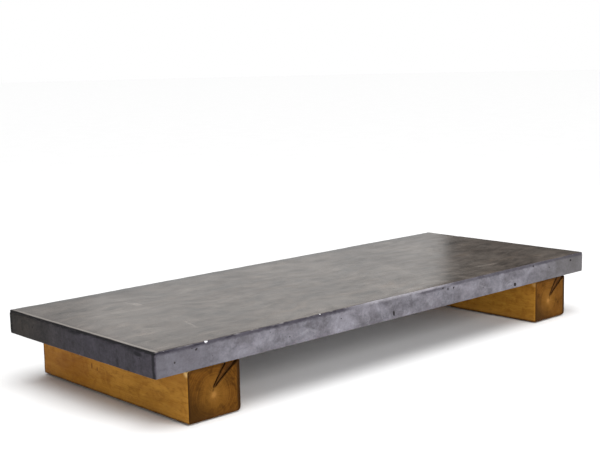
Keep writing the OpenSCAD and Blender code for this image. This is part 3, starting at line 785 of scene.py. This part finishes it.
def build_slab():
    lo, hi = SLAB_LO, SLAB_HI
    hx, hy = hi.x, hi.y
    z0, z1 = lo.z, hi.z
    loop, length = outline(hx, hy, [5 * MM, 4 * MM, 5 * MM, 6 * MM], 5 * MM)

    def lip(a, b, na, nb):
        """How deep the trowelled lip is undercut here."""
        if na < -0.5:
            return 1.5 * MM * (0.75 + 0.25 * n1(b * 9, 4.0))
        if nb < -0.5:
            g = 1.5 * (1 - smooth(a, -0.93, -0.80)) + 0.9 * smooth(n1(a * 5.5, 11.0), 0.05, 0.4)
            return MM * max(0.15, g)
        return MM * (0.3 + 0.8 * smooth(n1(a * 4 + b * 4, 21.0), 0.0, 0.4))

    rows = []
    for (a, b, na, nb), s in zip(loop, length):
        rt = MM * max(2.2, 4.2 + 2.0 * n1(s * 7.0, 1.0) + 1.1 * n1(s * 31.0, 2.0))
        rb = MM * max(1.6, 2.6 + 1.0 * n1(s * 9.0, 3.0))
        wob = MM * (0.9 * n1(s * 5.0, 5.0) + 0.5 * n1(s * 23.0, 6.0) + 0.25 * n1(s * 70.0, 7.0))
        sag = MM * (0.7 + 0.9 * n1(s * 4.0, 8.0) + 0.5 * n1(s * 17.0, 9.0))
        sag = max(0.0, sag)
        g = lip(a, b, na, nb)
        prof = [(34 * MM, z0), (20 * MM, z0), (10 * MM, z0)]
        for i in range(4):
            t = math.radians(90 * i / 3)
            prof.append((rb * (1 - math.sin(t)), z0 + rb * (1 - math.cos(t))))
        prof += [(0.0, z0 + f * (z1 - z0)) for f in (0.10, 0.18, 0.28, 0.40, 0.52, 0.64, 0.74, 0.82)]
        prof += [(0.15 * g, z1 - rt - 6.4 * MM), (0.8 * g, z1 - rt - 4.2 * MM), (g, z1 - rt - 2.8 * MM), (0.35 * g, z1 - rt - 1.2 * MM)]
        for i in range(6):
            t = math.radians(90 * i / 5)
            prof.append((rt * (1 - math.cos(t)), z1 - rt + rt * math.sin(t)))
        prof += [(12 * MM, z1), (18 * MM, z1), (26 * MM, z1), (34 * MM, z1)]
        row = []
        for inset, zz in prof:
            # the arris wanders in and down, and the face has a slow wave
            k_top = smooth(zz, z1 - 14 * MM, z1 - 3 * MM) * (1 - smooth(inset, 8 * MM, 30 * MM))
            k_low = (1 - smooth(zz, z0 + 3 * MM, z0 + 14 * MM)) * (1 - smooth(inset, 6 * MM, 24 * MM))
            p = Vector((a - na * inset, b - nb * inset, zz))
            face = (1 - smooth(inset, 2 * MM, 12 * MM)) * MM * (0.45 * fbm(p * 4.0) + 0.20 * fbm(p * 26.0))
            move = max(-0.5 * MM, -face) + (0.9 * MM + wob) * k_top + 0.5 * MM * k_low * (1 + n1(s * 12, 30.0))
            down = sag * k_top
            up = k_low * MM * max(0.0, 0.5 * n1(s * 8.0, 33.0))
            wave = MM * 0.22 * n1(p.x * 3.5, p.y * 5.0, 2.0) * smooth(inset, 2 * MM, 20 * MM) if zz > z1 - 1 * MM else 0.0
            row.append((inset + max(-0.3 * MM, move), zz - down + up + min(0.15 * MM, wave)))
        rows.append(row)

    def cap(a, b, c, side):
        if side == 1:
            return z1 + MM * min(0.15, 0.22 * n1(a * 3.5, b * 5.0, 2.0) + 0.10 * n1(a * 9.0, b * 17.0, 5.0))
        return z0

    verts, faces = prism(loop, rows, lambda a, b, c: (a, b, c), 45 * MM, 20 * MM, cap)
    slab = new_object("slab_cast_concrete", verts, faces)
    slab.data.materials.append(MAT["concrete"])

    # recesses for what is cast in and shows below
    for blo, bhi in solids("rebar_spacers"):
        cx, cy = (blo.x + bhi.x) / 2, (blo.y + bhi.y) / 2
        w, t = (bhi.x - blo.x) / 2 + 0.1 * MM, 1.6 * MM
        cross = [(w, t), (t, t), (t, w), (-t, w), (-t, t), (-w, t), (-w, -t), (-t, -t), (-t, -w), (t, -w), (t, -t), (w, -t)]
        v = [(cx + a, cy + b, zz) for zz in (z0 - 2 * MM, z0 + 28 * MM) for a, b in cross]
        f = [(i, (i + 1) % 12, 12 + (i + 1) % 12, 12 + i) for i in range(12)] + [tuple(range(12)), tuple(range(12, 24))]
        cut(slab, join_parts("feet", [(v, f)]))
    holes = []
    for blo, bhi in solids("threaded_sockets"):
        cx, cy = (blo.x + bhi.x) / 2, (blo.y + bhi.y) / 2
        r = (bhi.x - blo.x) / 2
        holes.append(lathe([(0, z0 - 2 * MM), (r + 0.1 * MM, z0 - 2 * MM), (r + 0.1 * MM, z0 + 2.1 * MM), (9.1 * MM, z0 + 2.1 * MM),
                            (9.1 * MM, bhi.z + 0.1 * MM), (0, bhi.z + 0.1 * MM)], 40, (cx, cy, 0)))
    cut(slab, join_parts("socket_holes", holes))

    # air holes in the four sides: the ones that show, then small ones all over
    air = []
    for i, (px, pz, rx, rz, d, turn) in enumerate([
            (-73.9, 187.2, 4.6, 9.4, 7.0, 0.16), (618.3, 181.0, 7.4, 8.0, 7.0, 0.5), (736.9, 235.0, 5.4, 3.4, 4.0, 0.3),
            (992.7, 223.7, 6.4, 4.2, 4.5, 0.2), (845.1, 215.6, 3.2, 2.4, 2.4, 0.0), (187.7, 234.0, 4.6, 3.2, 4.0, 0.3),
            (215.6, 226.0, 3.8, 5.0, 4.0, 0.2), (247.8, 226.7, 4.8, 3.4, 3.5, 0.6), (-930.8, 228.0, 4.4, 3.0, 3.4, 0.5),
            (-946.0, 233.5, 2.6, 1.8, 2.0, 0.2), (-1010.0, 204.0, 3.0, 3.6, 2.0, 0.4), (-560.0, 196.0, 2.2, 2.6, 2.0, 0.2),
            (-330.0, 214.0, 2.4, 2.0, 2.0, 0.8), (420.0, 201.0, 2.6, 2.2, 2.0, 0.1)]):
        air.append(lump((px * MM, -hy + 0.4 * MM, pz * MM), (rx * MM, d * MM, rz * MM), i, 0.35, 3, turn))
    taken = [Vector((p[0][0][0], p[0][0][1], p[0][0][2])) for p in air]

    def scatter(n, make, gap=22 * MM):
        tries = 0
        while n and tries < 4000:
            tries += 1
            c, radii, turn = make()
            if any((c - t).length < gap for t in taken):
                continue
            taken.append(c)
            air.append(lump(c, radii, tries, 0.3, 2, turn))
            n -= 1

    def on_long(sign):
        def make():
            r = MM * (0.7 + (0.9 if sign < 0 else 1.9) * rng.random() ** 2.4)
            c = Vector((rng.uniform(-hx + 0.03, hx - 0.03), sign * (hy - 0.25 * r - 0.2 * MM), rng.uniform(z0 + 0.010, z1 - 0.016)))
            return c, (r * rng.uniform(0.8, 1.4), r, r * rng.uniform(0.8, 1.3)), rng.uniform(0, 3)
        return make

    def on_short(sign):
        def make():
            r = MM * (0.7 + 1.9 * rng.random() ** 2.4)
            c = Vector((sign * (hx - 0.25 * r - 0.2 * MM), rng.uniform(-hy + 0.03, hy - 0.03), rng.uniform(z0 + 0.010, z1 - 0.016)))
            return c, (r, r * rng.uniform(0.8, 1.4), r * rng.uniform(0.8, 1.3)), 0.0
        return make

    scatter(30, on_long(-1))
    scatter(62, on_long(1))
    scatter(22, on_short(-1))
    scatter(24, on_short(1))
    pits = join_parts("air_holes", air)
    pits.data.materials.append(MAT["air_hole"])
    cut(slab, pits, transfer=True)

    # chips broken off the arrises
    chips = []
    spots = [(-893.0, -hy, z1 - 2.6 * MM, 6.0, 4.6, 4.6), (-424.8, -hy, z1 - 1.2 * MM, 3.4, 2.6, 2.2), (-642.8, -hy, z0 + 1.0 * MM, 4.2, 3.0, 3.2),
             (-1046.0, -hy, z1 - 1.0 * MM, 3.2, 2.6, 1.9), (-290.0, -hy, z1 - 0.8 * MM, 8.0, 2.2, 1.6), (1012.0, -hy, z1 - 1.0 * MM, 4.2, 2.4, 2.0)]
    old = []
    for i, (px, py, pz, rx, ry, rz) in enumerate(spots):
        fresh = chips if i < 2 else old
        fresh.append(lump((px * MM, py + 0.6 * MM, pz), (rx * MM, ry * MM, rz * MM), 50 + i, 0.5, 3))
    chip = join_parts("chips", chips)
    chip.data.materials.append(MAT["chip"])
    cut(slab, chip, transfer=True)
    used = [s[0] * MM for s in spots]
    for i in range(24):
        side = rng.choice("fbrl" if i % 3 else "fb")
        r = MM * rng.uniform(1.0, 2.6)
        zz = z1 - 0.3 * r if rng.random() < 0.62 else z0 + 0.25 * r
        if side in "fb":
            px = rng.uniform(-hx + 0.04, hx - 0.04)
            if side == "f" and any(abs(px - u) < 0.03 for u in used):
                continue
            if side == "f" and px > 0.2:
                zz = z0 + 0.25 * r
            if side == "f":
                used.append(px)
            c = (px, (-hy if side == "f" else hy) * (1 - 0.0004), zz)
            rad = (r * rng.uniform(1.2, 2.6), r, r * 0.8)
        else:
            c = ((-hx if side == "l" else hx) * (1 - 0.0002), rng.uniform(-hy + 0.04, hy - 0.04), zz)
            rad = (r, r * rng.uniform(1.2, 2.6), r * 0.8)
        old.append(lump(c, rad, 90 + i, 0.5, 2))
    # the far end is knocked in one place
    old.append(lump((hx - 1 * MM, 0.238, z1), (8 * MM, 15 * MM, 5.0 * MM), 131, 0.5, 3))
    chip = join_parts("chips_old", old)
    chip.data.materials.append(MAT["chip_old"])
    cut(slab, chip, transfer=True)
    # the sealed top has its own finish
    me = slab.data
    me.materials.append(MAT["concrete_top"])
    top_index = len(me.materials) - 1
    for p in me.polygons:
        if p.material_index == 0 and p.normal.z > 0.80 and p.center.z > z1 - 12 * MM:
            p.material_index = top_index
    crisp(slab, 38)
    return slab


# ------------------------------------------------------------------ beams

def crack_cutter(path, y_face, sign, depth, steps=7, seed=0):
    """A tapering split that opens at the end grain. path lists (x, z, half width) in the end's plane; sign is the way into the timber."""
    verts, faces = [], []
    n = len(path)
    for j in range(steps + 1):
        t = j / steps
        y = y_face - sign * 4 * MM + sign * (depth + 4 * MM) * t
        k = (1 - t ** 1.6) * 0.97 + 0.03
        left, right = [], []
        for i, (x, z, w) in enumerate(path):
            a = path[max(0, i - 1)]
            b = path[min(n - 1, i + 1)]
            dx, dz = b[0] - a[0], b[1] - a[1]
            ln = math.hypot(dx, dz) or 1.0
            nx_, nz_ = -dz / ln, dx / ln
            w = w * k
            ox = 1.2 * MM * n1(t * 2.5 + i * 0.7, seed, 3.0) * t
            left.append((x + nx_ * w + ox, y, z + nz_ * w))
            right.append((x - nx_ * w + ox, y, z - nz_ * w))
        verts += left + right[::-1]
    m = 2 * n
    for j in range(steps):
        for i in range(m):
            i2 = (i + 1) % m
            faces.append((j * m + i, j * m + i2, (j + 1) * m + i2, (j + 1) * m + i))
    for i in range(n - 1):
        for base in (0, steps * m):
            faces.append((base + i, base + i + 1, base + m - 2 - i, base + m - 1 - i))
    return verts, faces


def check_cutter(x, y0, y1, z, width, depth, sx, seed):
    """A drying check along the grain on a face whose outward side is sx: a long, thin, tapering cut."""
    n = 18
    verts, faces = [], []
    for i in range(n + 1):
        t = i / n
        w = width * (math.sin(math.pi * min(1, max(0, t))) ** 0.6 + 0.04) / 2
        d = depth * (math.sin(math.pi * t) ** 0.5 + 0.05)
        zc = z + 2.2 * MM * n1(t * 4, seed, 1.0)
        y = y0 + (y1 - y0) * t
        xs = x + sx * 2 * MM
        verts += [(xs, y, zc - w), (xs, y, zc + w), (x - sx * d, y, zc + 0.06 * MM), (x - sx * d, y, zc - 0.06 * MM)]
    for i in range(n):
        for k in range(4):
            k2 = (k + 1) % 4
            faces.append((4 * i + k, 4 * i + k2, 4 * i + 4 + k2, 4 * i + 4 + k))
    faces += [(0, 1, 2, 3), (4 * n, 4 * n + 1, 4 * n + 2, 4 * n + 3)]
    return verts, faces


def build_beam(node, seed):
    lo, hi = BEAM_BOX[node]
    cx, cz = (lo.x + hi.x) / 2, (lo.z + hi.z) / 2
    hw, hh = (hi.x - lo.x) / 2, (hi.z - lo.z) / 2
    loop, length = outline(hw, hh, [3 * MM, 11 * MM, 3 * MM, 3 * MM], 7 * MM)
    y0, y1 = lo.y, hi.y
    stations = [y0 + 6 * MM, y0 + 12 * MM] + [y0 + 24 * MM + (y1 - y0 - 48 * MM) * i / 56 for i in range(57)] + [y1 - 12 * MM, y1 - 6 * MM]
    rows = []
    for (a, b, na, nb), s in zip(loop, length):
        re = MM * max(0.9, 1.9 + 1.0 * n1(s * 18.0, seed, 1.0))
        corner = 1.0 if 0.08 < abs(na) < 0.995 and abs(nb) > 0.08 else 0.0
        prof = [(9 * MM, y0), (5 * MM, y0)]
        for i in range(4):
            t = math.radians(90 * i / 3)
            prof.append((re * (1 - math.sin(t)), y0 + re * (1 - math.cos(t))))
        prof += [(0.0, y) for y in stations]
        for i in range(4):
            t = math.radians(90 * (3 - i) / 3)
            prof.append((re * (1 - math.sin(t)), y1 - re * (1 - math.cos(t))))
        prof += [(5 * MM, y1), (9 * MM, y1)]
        row = []
        for inset, y in prof:
            p = Vector((a + cx, y, b + cz))
            face = MM * (0.22 * n1(y * 9.0 + seed, s * 6.0, 1.0) + 0.10 * n1(y * 60.0, s * 40.0, seed))
            wear = MM * corner * (0.25 + 0.55 * max(0.0, n1(y * 14.0, s * 3.0, seed + 4.0)) + 0.3 * max(0.0, n1(y * 55.0, s, seed + 9.0)))
            out = face if inset > 0.5 * MM else face + wear
            row.append((inset + max(0.0, 0.12 * MM + out), y))
        rows.append(row)

    def cap(a, b, c, side):
        d = MM * 0.25 * abs(n1(a * 30, b * 30, seed + side))
        return c + (d if side == 0 else -d)

    verts, faces = prism(loop, rows, lambda a, b, c: (a + cx, c, b + cz), 9 * MM, 9 * MM, cap)
    beam = new_object(node + "_timber", verts, faces)
    beam.data.materials.append(MAT[node])

    # bolt holes with their counterbores, and pilot holes of the pad screws
    parts = []
    for blo, bhi in solids("bolt_washers"):
        bx, by = (blo.x + bhi.x) / 2, (blo.y + bhi.y) / 2
        if lo.x < bx < hi.x:
            parts.append(lathe([(0, lo.z - 3 * MM), (22 * MM, lo.z - 3 * MM), (22 * MM, lo.z - 0.01 * MM), (21.4 * MM, lo.z + 1.5 * MM), (21.4 * MM, bhi.z),
                                (7 * MM, bhi.z), (7 * MM, hi.z + 3 * MM), (0, hi.z + 3 * MM)], 56, (bx, by, 0)))
    for blo, bhi in solids("pad_screws"):
        bx, by = (blo.x + bhi.x) / 2, (blo.y + bhi.y) / 2
        if lo.x < bx < hi.x:
            parts.append(tube(bx, by, lo.z - 3 * MM, bhi.z + 0.3 * MM, 2.3 * MM, n=20))
    cut(beam, join_parts("bores", parts))

    # the two splits that run from the heart to the upper corner, at each end
    for y_face, sign, flip, sd in ((y0, 1, 1, seed), (y1, -1, -1, seed + 5)):
        def e(u, v, w):
            """u, v from the lower left corner as seen in the drawing of the end, in mm."""
            uu = u if flip == 1 else 2 * hw / MM - u
            return (lo.x + uu * MM, lo.z + v * MM, w * MM)
        a_path = [e(96, 91, 0.8), e(99, 99, 2.6), e(106, 110, 2.4), e(112, 119, 2.9), e(119, 127, 2.5), e(126, 137, 3.2), e(133, 146, 2.8), e(139, 153, 3.3), e(149, 167, 3.2)]
        b_path = [e(103, 93, 0.8), e(109, 101, 2.9), e(123, 112.5, 2.6), e(138, 123, 3.5), e(150, 132.5, 3.2), e(162, 140, 4.3), e(171, 147.5, 4.2), e(180, 153, 5.4), e(196, 167, 6.6)]
        c_path = [e(92.5, 80, 0.4), e(94, 84, 1.3), e(95.5, 87.5, 1.2), e(96.5, 90, 0.4)]
        for path, depth, k in ((a_path, 70 * MM, 1), (b_path, 150 * MM, 2), (c_path, 30 * MM, 3)):
            c = join_parts("crack", [crack_cutter(path, y_face, sign, depth, seed=sd + k)])
            c.data.materials.append(MAT["crack"])
            cut(beam, c, transfer=True)
    # drying checks along the faces
    r2 = random.Random(300 + int(seed))
    checks = []
    for sx, count in ((1, 4),):
        for i in range(count):
            length_ = r2.uniform(0.09, 0.30)
            ys = r2.uniform(y0 + 0.04, y1 - 0.04 - length_)
            zc = lo.z + (hi.z - lo.z) * ((i + 0.5) / count * 0.72 + 0.14 + r2.uniform(-0.03, 0.03))
            checks.append(check_cutter(cx + sx * hw, ys, ys + length_, zc, MM * r2.uniform(0.7, 1.5), MM * r2.uniform(4, 11), sx, i + seed))
    c = join_parts("checks", checks)
    c.data.materials.append(MAT["crack"])
    cut(beam, c, transfer=True)
    crisp(beam, 36)
    return beam


# ------------------------------------------------------------------ small pieces

def bolt_part(cx, cy, z_head, z_seat, z_tip, af, d):
    """Hex bolt standing head down: chamfered head with a bearing face, plain shank, and a threaded end."""
    parts = []
    # head: a hexagon cut by a 30-degree cone, made as rings of 60 points
    n = 60
    apo, rad = af / 2, af / 2 / math.cos(math.pi / 6)

    def hexr(a):
        t = (a + math.pi / 6) % (math.pi / 3) - math.pi / 6
        return apo / math.cos(t)

    h = z_seat - z_head
    levels = [(z_head, 0.0, 0.80 * apo / 1), (z_head + 0.02 * h, 0.0, None), (z_head + 0.30 * h, 1.0, None), (z_head + 0.93 * h, 1.0, None)]
    verts, faces = [], []
    rings = []
    cone0 = apo * 0.955
    for z, kind, flat in levels:
        ring = []
        for i in range(n):
            a = 2 * math.pi * i / n
            limit = cone0 + (z - z_head) / math.tan(math.radians(30))
            r = flat if flat else min(hexr(a), limit)
            ring.append(len(verts))
            verts.append((cx + r * math.cos(a), cy + r * math.sin(a), z))
        rings.append(ring)
    for z, r in ((z_head + 0.93 * h, apo * 0.96), (z_seat, apo * 0.95)):
        ring = []
        for i in range(n):
            a = 2 * math.pi * i / n
            ring.append(len(verts))
            verts.append((cx + r * math.cos(a), cy + r * math.sin(a), z))
        rings.append(ring)
    for a, b in zip(rings, rings[1:]):
        for i in range(n):
            faces.append((a[i], a[(i + 1) % n], b[(i + 1) % n], b[i]))
    faces.append(tuple(rings[0]))
    faces.append(tuple(rings[-1]))
    parts.append((verts, faces))
    # shank and thread as one turned profile; the thread is cut as rings a pitch apart
    r, pitch = d / 2, 1.75 * MM
    z_thread = z_tip - 34 * MM
    prof = [(0, z_seat - 0.5 * MM), (r, z_seat - 0.5 * MM), (r, z_thread)]
    z = z_thread
    while z + pitch < z_tip - 2 * MM:
        prof += [(r - 1.0 * MM, z + 0.35 * pitch), (r - 1.0 * MM, z + 0.5 * pitch), (r - 0.05 * MM, z + 0.9 * pitch), (r - 0.05 * MM, z + pitch)]
        z += pitch
    prof += [(r - 0.1 * MM, z_tip - 1.4 * MM), (r - 1.4 * MM, z_tip), (0, z_tip)]
    parts.append(lathe(prof, 36, (cx, cy, 0)))
    return parts


def build_bolts():
    parts = []
    for lo, hi in solids("beam_bolts"):
        cx, cy = (lo.x + hi.x) / 2, (lo.y + hi.y) / 2
        parts += bolt_part(cx, cy, lo.z, lo.z + 7.5 * MM, hi.z, 18 * MM, 12 * MM)
    o = join_parts("hex_bolts_m12", parts)
    crisp(o, 28)
    return o


def build_washers():
    parts = []
    for lo, hi in solids("bolt_washers"):
        cx, cy = (lo.x + hi.x) / 2, (lo.y + hi.y) / 2
        ro, ri, c = (hi.x - lo.x) / 2, 6.5 * MM, 0.35 * MM
        parts.append(lathe([(ri + c, lo.z), (ro - 2.2 * c, lo.z), (ro - 0.6 * c, lo.z + 0.6 * c), (ro, lo.z + 2 * c), (ro, hi.z - c), (ro - c, hi.z),
                            (ri + c, hi.z), (ri, hi.z - c), (ri, lo.z + c)], 56, (cx, cy, 0)))
    o = join_parts("wide_washers", parts)
    crisp(o, 28)
    return o


def build_strips(node):
    """Ribbed rubber strip: shallow grooves along both faces, ends slightly drawn in."""
    parts = []
    for lo, hi in solids(node):
        cx, w, h = (lo.x + hi.x) / 2, (hi.x - lo.x) / 2, hi.z - lo.z
        n = 9
        pitch = 2 * w / n
        low, high = [], []
        for i in range(n):
            x0 = -w + i * pitch
            edge0 = 0.5 * MM if i == 0 else 0.55 * MM
            low += [(x0 + edge0, 0.0), (x0 + pitch - 0.55 * MM, 0.0)]
            high += [(x0 + edge0, h), (x0 + pitch - 0.55 * MM, h)]
            if i < n - 1:
                low += [(x0 + pitch, 0.7 * MM)]
                high += [(x0 + pitch, h - 0.7 * MM)]
        ring = low + [(w, 0.5 * MM), (w, h - 0.5 * MM)] + high[::-1] + [(-w, h - 0.5 * MM), (-w, 0.5 * MM)]
        k = len(ring)
        verts, faces = [], []
        stations = [lo.y, lo.y + 0.4 * MM] + [lo.y + (hi.y - lo.y) * i / 24 for i in range(1, 24)] + [hi.y - 0.4 * MM, hi.y]
        for j, y in enumerate(stations):
            f = 0.992 if j in (0, len(stations) - 1) else 1.0
            for a, b in ring:
                verts.append((cx + a * f, y, lo.z + h / 2 + (b - h / 2) * (0.86 if f < 1 else 1.0)))
        for j in range(len(stations) - 1):
            for i in range(k):
                i2 = (i + 1) % k
                faces.append((j * k + i, j * k + i2, (j + 1) * k + i2, (j + 1) * k + i))
        faces += [tuple(range(k)), tuple(range((len(stations) - 1) * k, len(stations) * k))]
        parts.append((verts, faces))
    o = join_parts(node + "_ribbed", parts)
    crisp(o, 30)
    return o


def build_pads():
    """Rubber pads with rounded edges, a shallow tread underneath and countersunk holes."""
    pads = []
    for lo, hi in solids("foot_pads"):
        cx, cy = (lo.x + hi.x) / 2, (lo.y + hi.y) / 2
        hx, hy = (hi.x - lo.x) / 2, (hi.y - lo.y) / 2
        loop, _ = outline(hx, hy, [4 * MM] * 4, 8 * MM)
        h = hi.z - lo.z
        rows = [[(6 * MM, lo.z), (0.9 * MM, lo.z), (0.25 * MM, lo.z + 0.3 * MM), (0.0, lo.z + 0.9 * MM), (0.0, lo.z + 0.6 * h), (0.15 * MM, hi.z - 0.25 * MM), (0.5 * MM, hi.z), (6 * MM, hi.z)] for _ in loop]
        v, f = prism(loop, rows, lambda a, b, c, cx=cx, cy=cy: (a + cx, b + cy, c), 12 * MM, 12 * MM, lambda a, b, c, side: c)
        pads.append((v, f))
    o = join_parts("rubber_foot_pads", pads)
    o.data.materials.append(MAT["pad"])
    cutters = []
    for lo, hi in solids("pad_screws"):
        bx, by = (lo.x + hi.x) / 2, (lo.y + hi.y) / 2
        cutters.append(lathe([(0, -1 * MM), (4.6 * MM, -1 * MM), (4.6 * MM, 0.25 * MM), (2.3 * MM, 2.6 * MM), (2.3 * MM, 6 * MM), (0, 6 * MM)], 28, (bx, by, 0)))
    cut(o, join_parts("screw_holes", cutters))
    # tread: grooves across the pad, clear of the screws
    grooves = []
    screw_x = [((a.x + b.x) / 2, (a.y + b.y) / 2) for a, b in solids("pad_screws")]
    for lo, hi in solids("foot_pads"):
        n = 10
        for i in range(1, n):
            gx = lo.x + (hi.x - lo.x) * i / n
            if any(abs(gx - sx) < 8 * MM and lo.y < sy < hi.y for sx, sy in screw_x):
                continue
            grooves.append(block((gx - 0.9 * MM, lo.y - 2 * MM, -1 * MM), (gx + 0.9 * MM, hi.y + 2 * MM, 0.8 * MM)))
    cut(o, join_parts("tread", grooves))
    crisp(o, 30)
    return o


# ------------------------------------------------------------------ make the object

MAT = {
    "concrete": concrete("side"), "concrete_top": concrete("top"), "chip_old": dull_concrete(), "air_hole": dark_hole(), "chip": broken_concrete(), "crack": crack_inside(),
    "strip": rubber("rubber_bearing"), "pad": rubber("rubber_granulate", 0.7), "zinc": galvanised(), "yellow": passivated(),
    "screw": stainless(), "long": bar_steel("steel_bar_long", "x", 0), "cross": bar_steel("steel_bar_cross", "y", 7),
    "pin": bar_steel("steel_bar_pin", "y", 13), "spacer": grey_plastic(),
}
for _node, _seed in (("left_beam", 2.0), ("right_beam", 9.0)):
    _lo, _hi = BEAM_BOX[_node]
    _kn = [(_lo.x, 0.1046, 0.0866, 0.0070, "x", 2.2), (_lo.x, 0.0732, 0.0819, 0.0055, "x", 2.0), (_lo.x, -0.23, 0.118, 0.004, "x", 0.8)] if _node == "left_beam" else [
        (_lo.x, -0.10, 0.07, 0.008, "x", 0.72)]
    _kn += [(_hi.x, 0.18, 0.09, 0.011, "x", 0.72), (_hi.x, -0.22, 0.05, 0.007, "x", 0.72)]
    MAT[_node] = timber(_node + "_wood", _lo.x + 0.090, _lo.z + 0.076, _lo.z, _hi.z, (_hi.x - _lo.x) / 2, _seed, _kn)


def dress(obj, mat, *nodes, slot=None):
    if not obj.data.materials:
        obj.data.materials.append(mat)
    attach(obj, "root")
    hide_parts(*nodes)
    return obj


dress(build_slab(), MAT["concrete"], "concrete_slab", slot="concrete")
dress(build_beam("left_beam", 2.0), MAT["left_beam"], "left_beam", slot="beam_timber")
dress(build_beam("right_beam", 9.0), MAT["right_beam"], "right_beam", slot="beam_timber")
dress(build_bolts(), MAT["zinc"], "beam_bolts", slot="zinc_steel")
dress(build_washers(), MAT["zinc"], "bolt_washers", slot="zinc_steel")
for _node in ("left_bearing_strips", "right_bearing_strips"):
    dress(build_strips(_node), MAT["strip"], _node, slot="bearing_rubber")
dress(build_pads(), MAT["pad"], "foot_pads", slot="pad_rubber")


def wear(node, mat, bevel=0.0):
    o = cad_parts[node]
    o.data.materials.clear()
    o.data.materials.append(mat)
    if bevel:
        b = o.modifiers.new("edges", "BEVEL")
        b.width, b.segments, b.limit_method, b.angle_limit = bevel, 2, "ANGLE", math.radians(50)
        b.use_clamp_overlap = True


wear("threaded_sockets", MAT["yellow"])
wear("anchor_pins", MAT["pin"])
wear("long_rebar", MAT["long"])
wear("cross_rebar", MAT["cross"])
wear("rebar_spacers", MAT["spacer"])
wear("pad_screws", MAT["screw"])

# ------------------------------------------------------------------ studio

floor_net = Net("floor_pale")
floor_net.finish(floor_net.mix(floor_net.map(floor_net.noise(None, 3.0, 4, 0.6), 0.3, 0.7), (0.875, 0.875, 0.875), (0.89, 0.89, 0.89)), 0.75)
bpy.ops.mesh.primitive_circle_add(vertices=96, radius=60.0, fill_type="NGON", location=(0, 0, -0.0003))
floor = bpy.context.object
floor.name = "floor"
floor.data.materials.append(floor_net.mat)


def softbox(name, centre, target, size, energy, shine=True):
    d = bpy.data.lights.new(name, "AREA")
    d.shape, d.size, d.size_y = "RECTANGLE", size[0], size[1]
    d.energy = energy
    o = bpy.data.objects.new(name, d)
    scene.collection.objects.link(o)
    o.location = centre
    o.rotation_euler = (Vector(target) - Vector(centre)).to_track_quat("-Z", "Y").to_euler()
    o.visible_camera = False
    o.visible_glossy = shine
    return o


sun = bpy.data.lights.new("sky_panel", "SUN")
sun.energy, sun.angle = 3.15, math.radians(60)
sun_o = bpy.data.objects.new("sky_panel", sun)
scene.collection.objects.link(sun_o)
sun_o.rotation_euler = (math.radians(6), math.radians(-4), 0)

softbox("key_front", (-0.15, -3.1, 1.5), (-0.15, -0.4, 0.15), (2.2, 1.4), 60, False)
softbox("fill_left", (-3.9, -2.2, 0.46), (0.3, -0.1, 0.10), (1.6, 0.7), 38, False)

# tall white panels behind, whose right edge ends in the reflection on the top
fwd = Vector((0.68072, 0.73254, 0))
right = Vector((0.73254, -0.68072, 0))
for k, (a0, a1, b0, b1, level) in enumerate([(-1.75, 1.17, 1.05, 3.4, 0.70), (-1.75, 1.17, 0.35, 1.05, 0.60), (-3.4, -1.75, 0.35, 3.4, 0.48)]):
    c = Vector((-2.88453, -2.97468, 0)) + fwd * 9.0 + right * ((a0 + a1) / 2) + Vector((0, 0, (b0 + b1) / 2))
    softbox("panel_back_%d" % k, c, c - fwd, (a1 - a0, b1 - b0), level * math.pi * (a1 - a0) * (b1 - b0))

world = bpy.data.worlds.new("studio")
scene.world = world
world.use_nodes = True
wt = world.node_tree
wt.nodes.clear()
w_out = wt.nodes.new("ShaderNodeOutputWorld")
w_mix = wt.nodes.new("ShaderNodeMixShader")
w_dim = wt.nodes.new("ShaderNodeBackground")
w_lit = wt.nodes.new("ShaderNodeBackground")
w_path = wt.nodes.new("ShaderNodeLightPath")
w_shine = wt.nodes.new("ShaderNodeBackground")
w_mix2 = wt.nodes.new("ShaderNodeMixShader")
for node, level in ((w_dim, 0.22), (w_shine, 0.06), (w_lit, 1.0)):
    node.inputs["Color"].default_value = (1, 1, 1, 1)
    node.inputs["Strength"].default_value = level
wt.links.new(w_path.outputs["Is Glossy Ray"], w_mix2.inputs[0])
wt.links.new(w_dim.outputs[0], w_mix2.inputs[1])
wt.links.new(w_shine.outputs[0], w_mix2.inputs[2])
wt.links.new(w_path.outputs["Is Camera Ray"], w_mix.inputs[0])
wt.links.new(w_mix2.outputs[0], w_mix.inputs[1])
wt.links.new(w_lit.outputs[0], w_mix.inputs[2])
wt.links.new(w_mix.outputs[0], w_out.inputs["Surface"])

# ------------------------------------------------------------------ update the scene

bpy.context.view_layer.update()
